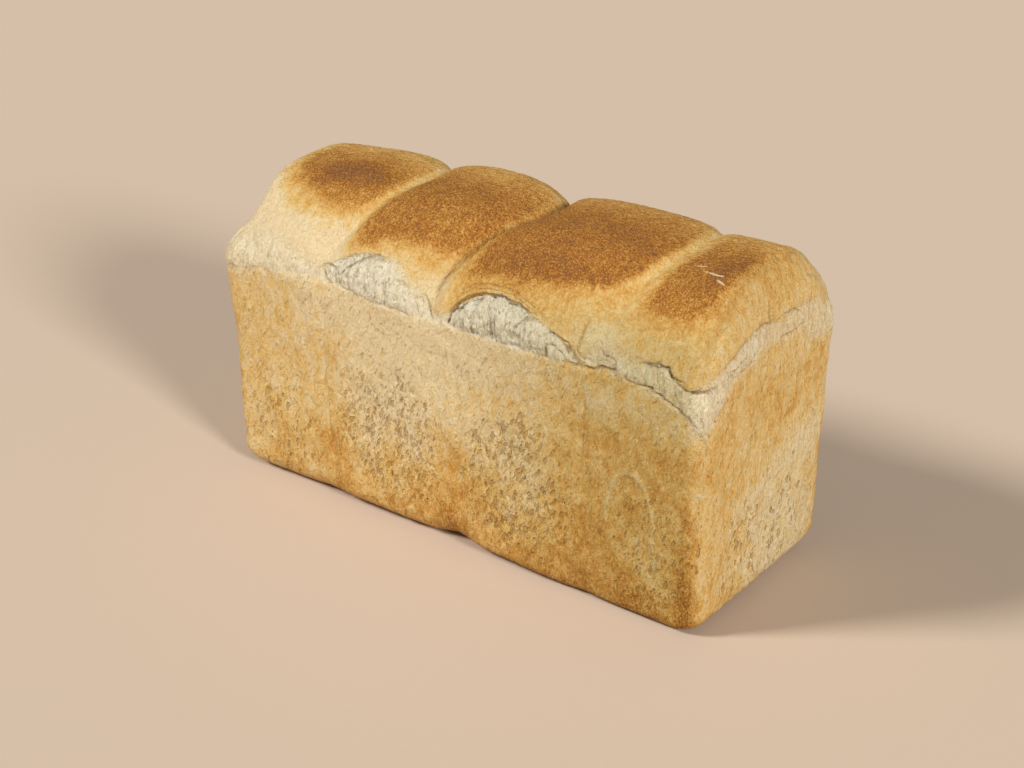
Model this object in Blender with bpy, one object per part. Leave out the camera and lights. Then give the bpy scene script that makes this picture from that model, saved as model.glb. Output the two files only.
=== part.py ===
"""A large wholemeal tin loaf, baked from four pieces of dough laid side by side in an open tin.

The walls stand as the tin pressed them, a little wider at the top than at the foot. Above the tin's
rim the dough rose freely: it tore along a ragged band and lifted the four domed lobes over it.
Lengths are in metres, +Z is up, +X runs along the loaf, and the origin is the middle of its flat base.
"""

import math
from collections import namedtuple

import bmesh
import bpy
import numpy as np

# The tin
BASE_LENGTH = 0.252
BASE_WIDTH = 0.0966
TIN_HEIGHT = 0.107
WALL_DRAFT = 0.0311  # how far each wall leans out for each metre of height
LEFT_FLARE = 0.020  # how much further the left end leans out for each metre above the level
FLARE_LEVEL = 0.040
FLARE_REACH = (0.080, 0.120)  # the flare grows between these distances from the middle
BASE_CORNER_RADIUS = 0.0087
RIM_CORNER_RADIUS = 0.0108
SIDE_FOOT_RADII = (0.0110, 0.0068)  # under the left lobes, and under the right ones
SIDE_FOOT_CHANGE = (0.005, 0.060)  # the foot changes between these places along the loaf
END_FOOT_RADII = (0.0105, 0.0150)  # at the front and at the back
FOOT_NOTCHES = (0.0020, 0.0055, 0.0015)  # how much more the foot is rounded where two lobes meet
FOOT_NOTCH_WIDTH = 0.009
FOOT_NOTCH_SHIFT = -0.004  # from the seam above it

# The crown, which rises out of the tin
SHOULDER_TOP = 0.1461
SHOULDER_HEIGHT = 0.0411
SIDE_SHOULDER_REACH = 0.0391
END_SHOULDER_REACHES = (0.0150, 0.0140)  # at the left end and at the right end
SHOULDER_SQUARENESS = 2.18  # 2 is an ellipse, and more is squarer
CROWN_RISE = 0.0067
LOBE_AXIS_HEIGHT = 0.085  # the lobes swell away from a line at this height
LOBE_BLEND = (TIN_HEIGHT - 0.004, TIN_HEIGHT + 0.026)  # they grow between these heights
LOBE_ROUNDNESS = 2.7
LOBE_RISES = (-0.0073, -0.0028, -0.0007, -0.0016)
LOBE_LEANS = (0.0047, 0.0005, 0.0015, 0.0004)  # how much each lobe rises from its middle to the right
LOBE_LEFT_SAGS = (0.0027, 0.0055, 0.0037, 0.0013)  # how far each one drops towards the crease before it
LOBE_RIGHT_SAGS = (0.0051, 0.0108, 0.0036, -0.0038)  # and towards the crease after it
LOBE_JOIN = 0.0032  # half the width over which one lobe's surface runs into the next one's
LOBE_OVERRUN = 1.2  # a lobe's drop stops growing this far beyond its half length

# The creases between the lobes: a seam on each long wall, bowed towards +X over the crown
SEAMS = (-0.070, 0.003, 0.073)
CREASE_BOWS = (0.0193, 0.0141, 0.0176)
CREASE_SHIFTS = (0.0, -0.0110, 0.0)  # how far each crease strays at the front, fading out at the middle
CREASE_DEPTH = 0.0014
CREASE_WIDTH = 0.0042
FOLD_DEPTH = 0.0011
FOLD_WIDTH = 0.0019
SEAM_FADE = (TIN_HEIGHT - 0.004, TIN_HEIGHT + 0.002)
LONG_WALL = (-0.012, -0.009)  # a seam shows where the skin is this near the loaf's widest part
SEAM_DEPTH = 0.0006
SEAM_WIDTH = 0.0018
SEAM_WANDER = 0.0010
SEAM_WAVE = 0.075
SEAM_LEANS = (0.03, 0.04, -0.02)  # how far each seam strays for each metre below the rim

# The torn band. Its edges are chains of arches round the loaf, in millimetres: where each starts, at
# what height, how much it rises above the straight line to the next one's start and, for the crust's
# lip, how deep the crack under it goes.
Arch = namedtuple("Arch", "start height rise crack")
MM = 0.001
LIP_ARCHES = (
    Arch(-146.1, 121.0, 1.0, 0.6),
    Arch(-122.6, 118.0, 2.0, 0.5),
    Arch(-70.0, 113.0, 5.0, 2.8),
    Arch(-31.0, 126.5, 0.0, 0.9),
    Arch(-8.0, 110.5, 0.0, 1.0),
    Arch(0.0, 112.0, 8.5, 4.0),
    Arch(44.0, 123.5, 2.0, 1.6),
    Arch(68.0, 111.5, 0.0, 0.9),
    Arch(75.0, 118.0, 0.5, 0.7),
    Arch(97.0, 119.5, 0.5, 2.4),
    Arch(110.5, 121.0, -1.0, 2.4),
    Arch(116.0, 115.0, -1.5, 2.8),
    Arch(123.0, 116.5, 2.0, 1.2),
    Arch(155.6, 129.5, 0.5, 2.0),
    Arch(170.6, 126.0, 4.0, 1.2),
    Arch(204.2, 122.5, 1.0, 0.7),
    Arch(212.7, 119.0, 2.0, 0.8),
    Arch(240.0, 117.0, 3.0, 1.6),
    Arch(262.0, 112.0, 7.0, 3.2),
    Arch(308.0, 121.0, 2.0, 1.0),
    Arch(331.0, 111.0, 9.0, 3.6),
    Arch(380.0, 118.0, 3.0, 1.3),
    Arch(405.0, 111.0, 6.0, 2.6),
    Arch(440.0, 118.0, 1.0, 0.8),
    Arch(457.8, 117.0, 3.0, 0.8),
    Arch(485.0, 125.0, 1.0, 1.6),
    Arch(510.0, 123.0, 1.0, 0.8),
)
RIM_ARCHES = (
    Arch(-146.1, 109.0, 0.0, 0.0),
    Arch(-122.6, 99.0, 1.0, 0.0),
    Arch(-100.0, 106.5, 0.0, 0.0),
    Arch(-62.0, 110.0, -1.0, 0.0),
    Arch(-10.0, 107.5, 0.0, 0.0),
    Arch(60.0, 109.5, 0.5, 0.0),
    Arch(80.0, 112.0, 0.0, 0.0),
    Arch(100.0, 110.0, 0.5, 0.0),
    Arch(115.0, 105.0, 0.5, 0.0),
    Arch(122.6, 95.0, 0.0, 0.0),
    Arch(134.0, 112.0, 1.5, 0.0),
    Arch(160.0, 118.5, 0.0, 0.0),
    Arch(187.0, 117.0, 0.0, 0.0),
    Arch(193.0, 109.0, 0.0, 0.0),
    Arch(212.7, 105.0, 1.0, 0.0),
    Arch(235.0, 107.5, 0.0, 0.0),
    Arch(330.0, 108.5, 0.0, 0.0),
    Arch(440.0, 107.0, 0.0, 0.0),
    Arch(457.8, 101.0, 1.0, 0.0),
    Arch(480.0, 111.0, 1.0, 0.0),
    Arch(505.0, 112.0, 0.5, 0.0),
)
TURN_RADIUS = 0.030  # the way round the loaf turns its corners on this radius
TURN_HALF_LENGTH = 0.129 - TURN_RADIUS
TURN_HALF_WIDTH = 0.0515 - TURN_RADIUS
LEDGE_DEPTH = 0.0010  # how far the torn dough stands in
LIP_PROUD = 0.0006  # how far the crust's lip stands out
LIP_FADE = 0.010
CRACK_WIDTH = 0.0016
EDGE_WIDTH = 0.0011
OVERHANG = 0.5  # share of a crack's depth that the lip sags over it
EDGE_RAGGED = 0.0009
EDGE_RAGGED_SIZE = 0.006
STRAND_DEPTH = 0.0013
STRAND_SIZE = (0.0038, 0.0038, 0.010)

# Short cracks that run up the crust from the tear, in millimetres: the place round the loaf, the
# foot's height, the length
UPRIGHT_CRACKS = ((163.6, 128.0, 11.0), (285.0, 119.0, 9.0), (500.0, 124.0, 10.0))
UPRIGHT_DEPTH = 0.0016
UPRIGHT_WIDTH = 0.0012

# The unevenness of the walls and the pits that steam left in them
SWELL_DEPTH = 0.0007
SWELL_SIZE = 0.030
PITS_PER_LOBE = 10
PIT_DEPTH = (0.0006, 0.0013)
PIT_HALF_WIDTH = (0.0013, 0.0021)
PIT_HALF_HEIGHT = (0.0024, 0.0042)
PIT_HEIGHTS = (0.014, 0.076)
PIT_MARGIN = 0.010  # the least distance from a seam or an end to a pit's middle
PIT_WALL_SKIN = 0.003
OFF_BASE = 0.007  # the relief fades out over this height above the flat base

# Repeatable random values, looked up in one table
SEED = 7
TABLE_SIZE = 4096
TABLE_STEPS = (73, 179, 283)

# The net of faces on the skin, and the share of them that the finished solid keeps
CELLS_ALONG = 200
CELLS_ACROSS = 80
CELLS_UP = 96  # its rows lie closer together where the dough tore
ROW_SHARES = (0.0, 0.08, 0.42, 1.0)
ROW_HEIGHTS = (0.0, 0.055, 0.64, 1.0)
KEPT_SHARE = 0.068
LEVEL = 0.0001  # an edge is level when its ends differ by less than this, on a cube of side 2

CRUST_BROWN = (0.480, 0.250, 0.080)
CRUST_ROUGHNESS = 0.75


def clear_scene():
    for old in list(bpy.data.objects):
        bpy.data.objects.remove(old)


def smooth_step(x, low, high):
    t = np.clip((x - low) / (high - low), 0, 1)
    return t * t * (3 - 2 * t)


def mix(a, b, share):
    return a + (b - a) * share


def lattice_noise(points, cell, seed):
    """Smooth random values, in -1..1, that change over about one cell of the given size."""
    table = np.random.default_rng(seed).uniform(-1, 1, TABLE_SIZE)
    scaled = points / np.asarray(cell)
    corner = np.floor(scaled).astype(int)
    t = scaled - corner
    t = t * t * (3 - 2 * t)
    total = np.zeros(len(points))
    for dx in (0, 1):
        for dy in (0, 1):
            for dz in (0, 1):
                entry = (corner + (dx, dy, dz)) @ TABLE_STEPS % TABLE_SIZE
                weight = abs(1 - dx - t[:, 0]) * abs(1 - dy - t[:, 1]) * abs(1 - dz - t[:, 2])
                total += weight * table[entry]
    return total


def crease_lines(y, half_width):
    """Where along the loaf each crease lies at the depth y."""
    bow = np.clip(1 - (y / half_width) ** 2, 0, 1)
    front = 1 - smooth_step(y, -half_width, 0.0)
    parts = zip(SEAMS, CREASE_BOWS, CREASE_SHIFTS)
    return [seam + height * bow + shift * front for seam, height, shift in parts]


def smooth_form(u, v, w):
    """Carries a cube's skin, u and v in -1..1 and w in 0..1, to the loaf without its cracks and pits."""
    z = w * SHOULDER_TOP
    in_tin = np.minimum(z, TIN_HEIGHT)
    half_length = BASE_LENGTH / 2 + WALL_DRAFT * in_tin
    half_width = BASE_WIDTH / 2 + WALL_DRAFT * in_tin
    along, across = u * half_length, v * half_width

    up = np.clip((z - SHOULDER_TOP + SHOULDER_HEIGHT) / SHOULDER_HEIGHT, 0, 1)
    corner = mix(BASE_CORNER_RADIUS, RIM_CORNER_RADIUS, in_tin / TIN_HEIGHT)
    reach_x = mix(corner, np.where(u < 0, *END_SHOULDER_REACHES), up)
    reach_y = mix(corner, SIDE_SHOULDER_REACH, up)
    core_x = np.clip(along, reach_x - half_length, half_length - reach_x)
    core_y = np.clip(across, reach_y - half_width, half_width - reach_y)
    out_x, out_y = abs(along - core_x) / reach_x, abs(across - core_y) / reach_y
    power = SHOULDER_SQUARENESS
    far = np.maximum(np.maximum(out_x, out_y), up)
    length = (out_x**power + out_y**power + up**power) ** (1 / power)
    pull = far / np.maximum(length, 1e-9)
    x = core_x + (along - core_x) * np.where(far > 0, pull, 1)
    y = core_y + (across - core_y) * np.where(far > 0, pull, 1)
    z = np.where(up > 0, SHOULDER_TOP - SHOULDER_HEIGHT + up * pull * SHOULDER_HEIGHT, z)

    x = x - LEFT_FLARE * (np.minimum(z, TIN_HEIGHT) - FLARE_LEVEL) * smooth_step(-x, *FLARE_REACH)
    side_foot = mix(*SIDE_FOOT_RADII, smooth_step(x, *SIDE_FOOT_CHANGE))
    for seam, notch in zip(SEAMS, FOOT_NOTCHES):
        from_notch = x - seam - FOOT_NOTCH_SHIFT
        side_foot = side_foot + notch * np.exp(-((from_notch / FOOT_NOTCH_WIDTH) ** 2))
    end_foot = mix(*END_FOOT_RADII, smooth_step(y, -half_width, half_width))
    x = x - np.sign(x) * foot_inset(z, end_foot) * nearness(along, half_length, end_foot)
    y = y - np.sign(y) * foot_inset(z, side_foot) * nearness(across, half_width, side_foot)
    return raised_lobes(np.column_stack([x, y, z]), half_width)


def foot_inset(z, radius):
    """How far a rounded foot stands in from the wall above it."""
    return radius * (1 - np.sqrt(1 - np.clip(1 - z / radius, 0, 1) ** 2))


def nearness(place, half_size, radius):
    """1 at the wall, falling to 0 two radii in from it."""
    return np.clip((abs(place) - half_size) / (2 * radius) + 1, 0, 1)


def raised_lobes(points, half_width):
    """Swells the crown into four lobes with soft valleys between them."""
    x, y, z = points.T
    blend = smooth_step(z, *LOBE_BLEND)
    end = BASE_LENGTH / 2 + WALL_DRAFT * TIN_HEIGHT
    creases = crease_lines(y, half_width)
    borders = [np.full_like(x, -end), *creases, np.full_like(x, end)]
    rise = np.zeros_like(x)
    for number, lobe_rise in enumerate(LOBE_RISES):
        low, high = borders[number], borders[number + 1]
        t = (x - (low + high) / 2) / ((high - low) / 2)
        sag = np.where(t < 0, LOBE_LEFT_SAGS[number], LOBE_RIGHT_SAGS[number])
        lean = LOBE_LEANS[number] * np.clip(t, -LOBE_OVERRUN, LOBE_OVERRUN)
        lobe = lobe_rise + lean - sag * np.clip(abs(t), 0, LOBE_OVERRUN) ** LOBE_ROUNDNESS
        begun = smooth_step(x, low - LOBE_JOIN, low + LOBE_JOIN) if number else 1
        rise = mix(rise, lobe, begun)
    for crease in creases:
        rise = rise - CREASE_DEPTH * np.exp(-(((x - crease) / CREASE_WIDTH) ** 2))

    outward = np.column_stack([np.zeros_like(x), y, z - LOBE_AXIS_HEIGHT])
    outward /= np.maximum(np.linalg.norm(outward, axis=1), 1e-9)[:, None]
    points = points + outward * (rise * blend)[:, None]
    crown = CROWN_RISE * (1 - (y / half_width) ** 2) * smooth_step(z, TIN_HEIGHT, SHOULDER_TOP)
    points[:, 2] += crown
    return points


def way_round(points):
    """The distance round the loaf from the middle of its front wall, rising towards +X."""
    x, y = points[:, 0], points[:, 1]
    core_x = np.clip(x, -TURN_HALF_LENGTH, TURN_HALF_LENGTH)
    core_y = np.clip(y, -TURN_HALF_WIDTH, TURN_HALF_WIDTH)
    facing = np.arctan2(x - core_x, core_y - y)
    facing = np.where(facing <= -math.pi / 2, facing + 2 * math.pi, facing)
    on_right = TURN_HALF_LENGTH + TURN_HALF_WIDTH + core_y
    on_back = 2 * (TURN_HALF_LENGTH + TURN_HALF_WIDTH) - core_x
    on_left = 3 * (TURN_HALF_LENGTH + TURN_HALF_WIDTH) - core_y
    sides = [facing < math.pi / 2, facing < math.pi, facing < 1.5 * math.pi]
    return np.select(sides, [core_x, on_right, on_back], on_left) + TURN_RADIUS * facing


def chain(arches, round_about):
    """The height of a chain of arches and its crack's depth, at each distance round the loaf."""
    starts = np.array([arch.start for arch in arches]) * MM
    heights = np.array([arch.height for arch in arches]) * MM
    rises = np.array([arch.rise for arch in arches]) * MM
    cracks = np.array([arch.crack for arch in arches]) * MM
    ring = 4 * (TURN_HALF_LENGTH + TURN_HALF_WIDTH) + 2 * math.pi * TURN_RADIUS
    number = np.clip(np.searchsorted(starts, round_about, side="right") - 1, 0, len(arches) - 1)
    ends = np.append(starts[1:], starts[0] + ring)
    t = np.clip((round_about - starts[number]) / (ends[number] - starts[number]), 0, 1)
    arching = 4 * t * (1 - t)
    height = mix(heights[number], np.roll(heights, -1)[number], t) + rises[number] * arching
    return height, cracks[number] * np.sqrt(arching)


def upright_cracks(round_about, z):
    """How deep the short cracks that run up from the tear are."""
    depth = np.zeros_like(z)
    for place, foot, length in UPRIGHT_CRACKS:
        beside = abs(round_about - place * MM)
        t = np.clip((z - foot * MM) / (length * MM), 0, 1)
        depth = np.maximum(depth, (1 - t) * np.exp(-((beside / UPRIGHT_WIDTH) ** 2)) * (t > 0))
    return UPRIGHT_DEPTH * depth


def torn_relief(points):
    """How far the tear pushes the skin outwards, and how far its lips sag down over the cracks."""
    z = points[:, 2]
    round_about = way_round(points)
    ragged = EDGE_RAGGED * lattice_noise(points, EDGE_RAGGED_SIZE, SEED)
    lip, crack = chain(LIP_ARCHES, round_about)
    rim, _ = chain(RIM_ARCHES, round_about)
    above_lip = z - lip - ragged
    above_rim = z - rim - ragged / 2

    crust = smooth_step(above_lip, -EDGE_WIDTH, EDGE_WIDTH)
    torn = smooth_step(above_rim, -EDGE_WIDTH, EDGE_WIDTH) * (1 - crust)
    strands = lattice_noise(points, STRAND_SIZE, SEED + 1)
    out = LIP_PROUD * crust * np.exp(-np.clip(above_lip, 0, None) / LIP_FADE)
    out -= torn * (LEDGE_DEPTH - STRAND_DEPTH * strands)
    out -= crack * (1 - crust) * np.exp(np.clip(above_lip, None, 0) / CRACK_WIDTH)
    out -= upright_cracks(round_about, z)
    sag = OVERHANG * crack * crust * np.exp(-np.clip(above_lip, 0, None) / CRACK_WIDTH)
    return out, sag


def folded_creases(points):
    """How deep the folds between the lobes are: thin on the crown, wandering seams on the walls."""
    x, y, z = points.T
    half_width = BASE_WIDTH / 2 + WALL_DRAFT * TIN_HEIGHT
    on_crown = smooth_step(z, *LOBE_BLEND)
    in_tin = 1 - smooth_step(z, *SEAM_FADE)
    long_wall = smooth_step(abs(y) - half_width, *LONG_WALL)
    depth = np.zeros_like(x)
    for number, crease in enumerate(crease_lines(y, half_width)):
        wander = SEAM_WANDER * np.sin(2 * math.pi * z / SEAM_WAVE + 2 * number)
        wander = wander + SEAM_LEANS[number] * (TIN_HEIGHT - z)
        fold = FOLD_DEPTH * on_crown * np.exp(-(((x - crease) / FOLD_WIDTH) ** 2))
        from_seam = x - SEAMS[number] - wander
        line = SEAM_DEPTH * in_tin * long_wall * np.exp(-((from_seam / SEAM_WIDTH) ** 2))
        depth = np.maximum(depth, np.maximum(fold, line))
    return depth


def steam_pits(points):
    """How deep the pits in the two long walls are."""
    x, y, z = points.T
    chance = np.random.default_rng(SEED)
    half_length = BASE_LENGTH / 2
    borders = (-half_length, *SEAMS, half_length)
    depth = np.zeros_like(x)
    for way in (-1, 1):
        on_wall = (way * y > BASE_WIDTH / 2 - PIT_WALL_SKIN) & (z < TIN_HEIGHT)
        for low, high in zip(borders[:-1], borders[1:]):
            for _ in range(PITS_PER_LOBE):
                middle_x = chance.uniform(low + PIT_MARGIN, high - PIT_MARGIN)
                middle_z = chance.uniform(*PIT_HEIGHTS)
                wide, tall = chance.uniform(*PIT_HALF_WIDTH), chance.uniform(*PIT_HALF_HEIGHT)
                away = ((x - middle_x) / wide) ** 2 + ((z - middle_z) / tall) ** 2
                pit = chance.uniform(*PIT_DEPTH) * np.clip(1 - away / 2, 0, 1)
                depth = np.maximum(depth, pit * on_wall)
    return depth


def netted_cube():
    """A cube of side 2 with its faces cut into a net, finest up the sides."""
    net = bmesh.new()
    bmesh.ops.create_cube(net, size=2)
    for axis, cells in enumerate((CELLS_ALONG, CELLS_ACROSS, CELLS_UP)):
        edges = [edge for edge in net.edges if runs_along(edge, axis)]
        bmesh.ops.subdivide_edges(net, edges=edges, cuts=cells - 1, use_grid_fill=True)
    return net


def runs_along(edge, axis):
    start, end = edge.verts
    return all(abs(start.co[other] - end.co[other]) < LEVEL for other in range(3) if other != axis)


def carve_skin(mesh):
    """Moves the net's points to the loaf's skin, then along its normals for all the relief."""
    cube = np.empty(len(mesh.vertices) * 3)
    mesh.vertices.foreach_get("co", cube)
    u, v, w = cube.reshape(-1, 3).T
    w = np.interp((w + 1) / 2, ROW_SHARES, ROW_HEIGHTS)
    points = smooth_form(u, v, w)
    mesh.vertices.foreach_set("co", points.ravel())
    mesh.update()
    normals = np.empty(len(mesh.vertices) * 3)
    mesh.vertices.foreach_get("normal", normals)
    normals = normals.reshape(-1, 3)

    out, sag = torn_relief(points)
    out = out + SWELL_DEPTH * lattice_noise(points, SWELL_SIZE, SEED + 2)
    out = out - folded_creases(points) - steam_pits(points)
    off_base = smooth_step(points[:, 2], 0.0, OFF_BASE)
    moved = points + normals * (out * off_base)[:, None]
    moved[:, 2] -= sag
    mesh.vertices.foreach_set("co", moved.ravel())
    mesh.update()


def crust_material(name, colour):
    material = bpy.data.materials.new(name)
    material.use_nodes = True
    shader = next(node for node in material.node_tree.nodes if node.type == "BSDF_PRINCIPLED")
    shader.inputs["Base Color"].default_value = (*colour, 1)
    shader.inputs["Roughness"].default_value = CRUST_ROUGHNESS
    return material


def build_loaf():
    net = netted_cube()
    mesh = bpy.data.meshes.new("loaf")
    net.to_mesh(mesh)
    net.free()
    carve_skin(mesh)
    mesh.materials.append(crust_material("crust", CRUST_BROWN))
    loaf = bpy.data.objects.new("loaf", mesh)
    bpy.context.scene.collection.objects.link(loaf)
    thinner = loaf.modifiers.new("fewer faces", "DECIMATE")
    thinner.ratio = KEPT_SHARE
    return loaf


clear_scene()
build_loaf()
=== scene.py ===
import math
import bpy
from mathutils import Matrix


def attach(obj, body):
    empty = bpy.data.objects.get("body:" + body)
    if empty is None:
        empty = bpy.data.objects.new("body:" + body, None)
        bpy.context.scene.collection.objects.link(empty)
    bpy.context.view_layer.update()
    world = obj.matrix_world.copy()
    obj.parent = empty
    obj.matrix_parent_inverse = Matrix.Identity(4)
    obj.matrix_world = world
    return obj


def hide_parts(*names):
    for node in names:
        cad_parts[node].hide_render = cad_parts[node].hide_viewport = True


bl_info = {
    "name": "Wholemeal Tin Loaf",
    "version": (1, 0, 0),
    "blender": (4, 5, 0),
    "location": "3D View > Sidebar > Tin Loaf",
    "description": "A four-lobed wholemeal tin loaf with a torn band above the rim of its tin",
    "category": "Add Mesh",
}

from collections import namedtuple

import bpy
import numpy as np
from mathutils import Vector

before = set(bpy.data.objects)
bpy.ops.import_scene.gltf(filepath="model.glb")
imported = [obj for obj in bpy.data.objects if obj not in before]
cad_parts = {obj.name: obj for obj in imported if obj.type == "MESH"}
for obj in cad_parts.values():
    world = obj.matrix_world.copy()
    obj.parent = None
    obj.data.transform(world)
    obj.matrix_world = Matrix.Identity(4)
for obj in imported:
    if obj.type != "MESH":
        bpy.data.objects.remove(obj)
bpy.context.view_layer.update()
MM = 0.001

# The tin and the crown, as in the solid
BASE_LENGTH = 0.252
BASE_WIDTH = 0.0966
TIN_HEIGHT = 0.107
WALL_DRAFT = 0.0311
LEFT_FLARE = 0.020
FLARE_LEVEL = 0.040
FLARE_REACH = (0.080, 0.120)
BASE_CORNER_RADIUS = 0.0087
RIM_CORNER_RADIUS = 0.0108
SIDE_FOOT_RADII = (0.0110, 0.0068)
SIDE_FOOT_CHANGE = (0.005, 0.060)
END_FOOT_RADII = (0.0105, 0.0150)
FOOT_NOTCHES = (0.0020, 0.0055, 0.0015)
FOOT_NOTCH_WIDTH = 0.009
FOOT_NOTCH_SHIFT = -0.004
SHOULDER_TOP = 0.1461
SHOULDER_HEIGHT = 0.0411
SIDE_SHOULDER_REACH = 0.0391
END_SHOULDER_REACHES = (0.0150, 0.0140)
SHOULDER_SQUARENESS = 2.18
CROWN_RISE = 0.0067
LOBE_AXIS_HEIGHT = 0.085
LOBE_BLEND = (TIN_HEIGHT - 0.004, TIN_HEIGHT + 0.026)
LOBE_ROUNDNESS = 2.7
LOBE_RISES = (-0.0073, -0.0028, -0.0007, -0.0016)
LOBE_LEANS = (0.0047, 0.0005, 0.0015, 0.0004)
LOBE_LEFT_SAGS = (0.0027, 0.0055, 0.0037, 0.0013)
LOBE_RIGHT_SAGS = (0.0051, 0.0108, 0.0036, -0.0038)
LOBE_JOIN = 0.0045
LOBE_OVERRUN = 1.2

# The creases between the lobes
SEAMS = (-0.070, 0.003, 0.073)
CREASE_BOWS = (0.0193, 0.0141, 0.0176)
CREASE_SHIFTS = (0.0, -0.0110, 0.0)
CREASE_DEPTH = 0.0007
CREASE_WIDTH = 0.0042
FOLD_DEPTH = 0.0003
FOLD_WIDTH = 0.0014
FOLD_FADE = (0.122, 0.142)
SEAM_DEPTH = 0.0006
SEAM_WIDTH = 0.0016
SEAM_WANDER = 0.0010
SEAM_WAVE = 0.075
SEAM_LEANS = (0.03, 0.04, -0.02)

# The way round the loaf: distances start at the middle of the front wall and rise towards +X
HALF_LENGTH = 0.129
HALF_WIDTH = 0.0515
TURN_RADIUS = 0.030
TURN_HALF_LENGTH = HALF_LENGTH - TURN_RADIUS
TURN_HALF_WIDTH = HALF_WIDTH - TURN_RADIUS
RING = 4 * (TURN_HALF_LENGTH + TURN_HALF_WIDTH) + 2 * math.pi * TURN_RADIUS
RING_START = -TURN_HALF_LENGTH - TURN_RADIUS * math.pi / 2

# The lip over the torn band, in millimetres: where each arch starts, its height there, how much it rises, how
# deep the crack under it is and how torn the dough there is
LIP_ARCHES = (
    (-146.1, 121.0, 1.0, 0.3, 0.40),
    (-122.6, 119.0, 3.0, 0.1, 0.62),
    (-70.0, 113.0, 5.0, 1.0, 0.95),
    (-31.0, 126.5, 0.0, 0.2, 0.80),
    (-8.0, 110.5, 0.0, 0.4, 0.70),
    (0.0, 112.0, 8.5, 1.6, 1.00),
    (44.0, 123.5, 2.0, 0.8, 0.85),
    (68.0, 111.5, 0.0, 0.5, 0.75),
    (75.0, 118.0, 0.5, 0.3, 0.72),
    (97.0, 119.5, 0.5, 1.0, 0.62),
    (110.5, 121.0, -1.0, 1.2, 0.62),
    (116.0, 115.0, -1.5, 1.4, 0.62),
    (123.0, 116.5, 2.0, 0.6, 0.60),
    (155.6, 129.5, 0.5, 0.9, 0.50),
    (170.6, 126.0, 4.0, 0.5, 0.45),
    (204.2, 122.5, 1.0, 0.4, 0.50),
    (212.7, 119.0, 2.0, 0.4, 0.55),
    (240.0, 117.0, 3.0, 0.8, 0.75),
    (262.0, 112.0, 7.0, 1.4, 0.95),
    (308.0, 121.0, 2.0, 0.4, 0.70),
    (331.0, 111.0, 9.0, 1.5, 1.00),
    (380.0, 118.0, 3.0, 0.6, 0.65),
    (405.0, 111.0, 6.0, 1.1, 0.85),
    (440.0, 118.0, 1.0, 0.4, 0.60),
    (457.8, 117.0, 3.0, 0.4, 0.50),
    (485.0, 125.0, 1.0, 0.8, 0.45),
    (510.0, 123.0, 1.0, 0.4, 0.40),
)
# The band's lower edge: where each arch starts, at what height and how much it rises
RIM_ARCHES = (
    (-146.1, 109.0, 0.0),
    (-122.6, 99.0, 1.0),
    (-100.0, 106.5, 0.0),
    (-62.0, 110.0, -1.0),
    (-10.0, 107.5, 0.0),
    (60.0, 109.5, 0.5),
    (80.0, 112.0, 0.0),
    (100.0, 110.0, 0.5),
    (115.0, 105.0, 0.5),
    (122.6, 95.0, 0.0),
    (134.0, 112.0, 1.5),
    (160.0, 118.5, 0.0),
    (187.0, 117.0, 0.0),
    (193.0, 109.0, 0.0),
    (212.7, 105.0, 1.0),
    (235.0, 107.5, 0.0),
    (330.0, 108.5, 0.0),
    (440.0, 107.0, 0.0),
    (457.8, 101.0, 1.0),
    (480.0, 111.0, 1.0),
    (505.0, 112.0, 0.5),
)

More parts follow.
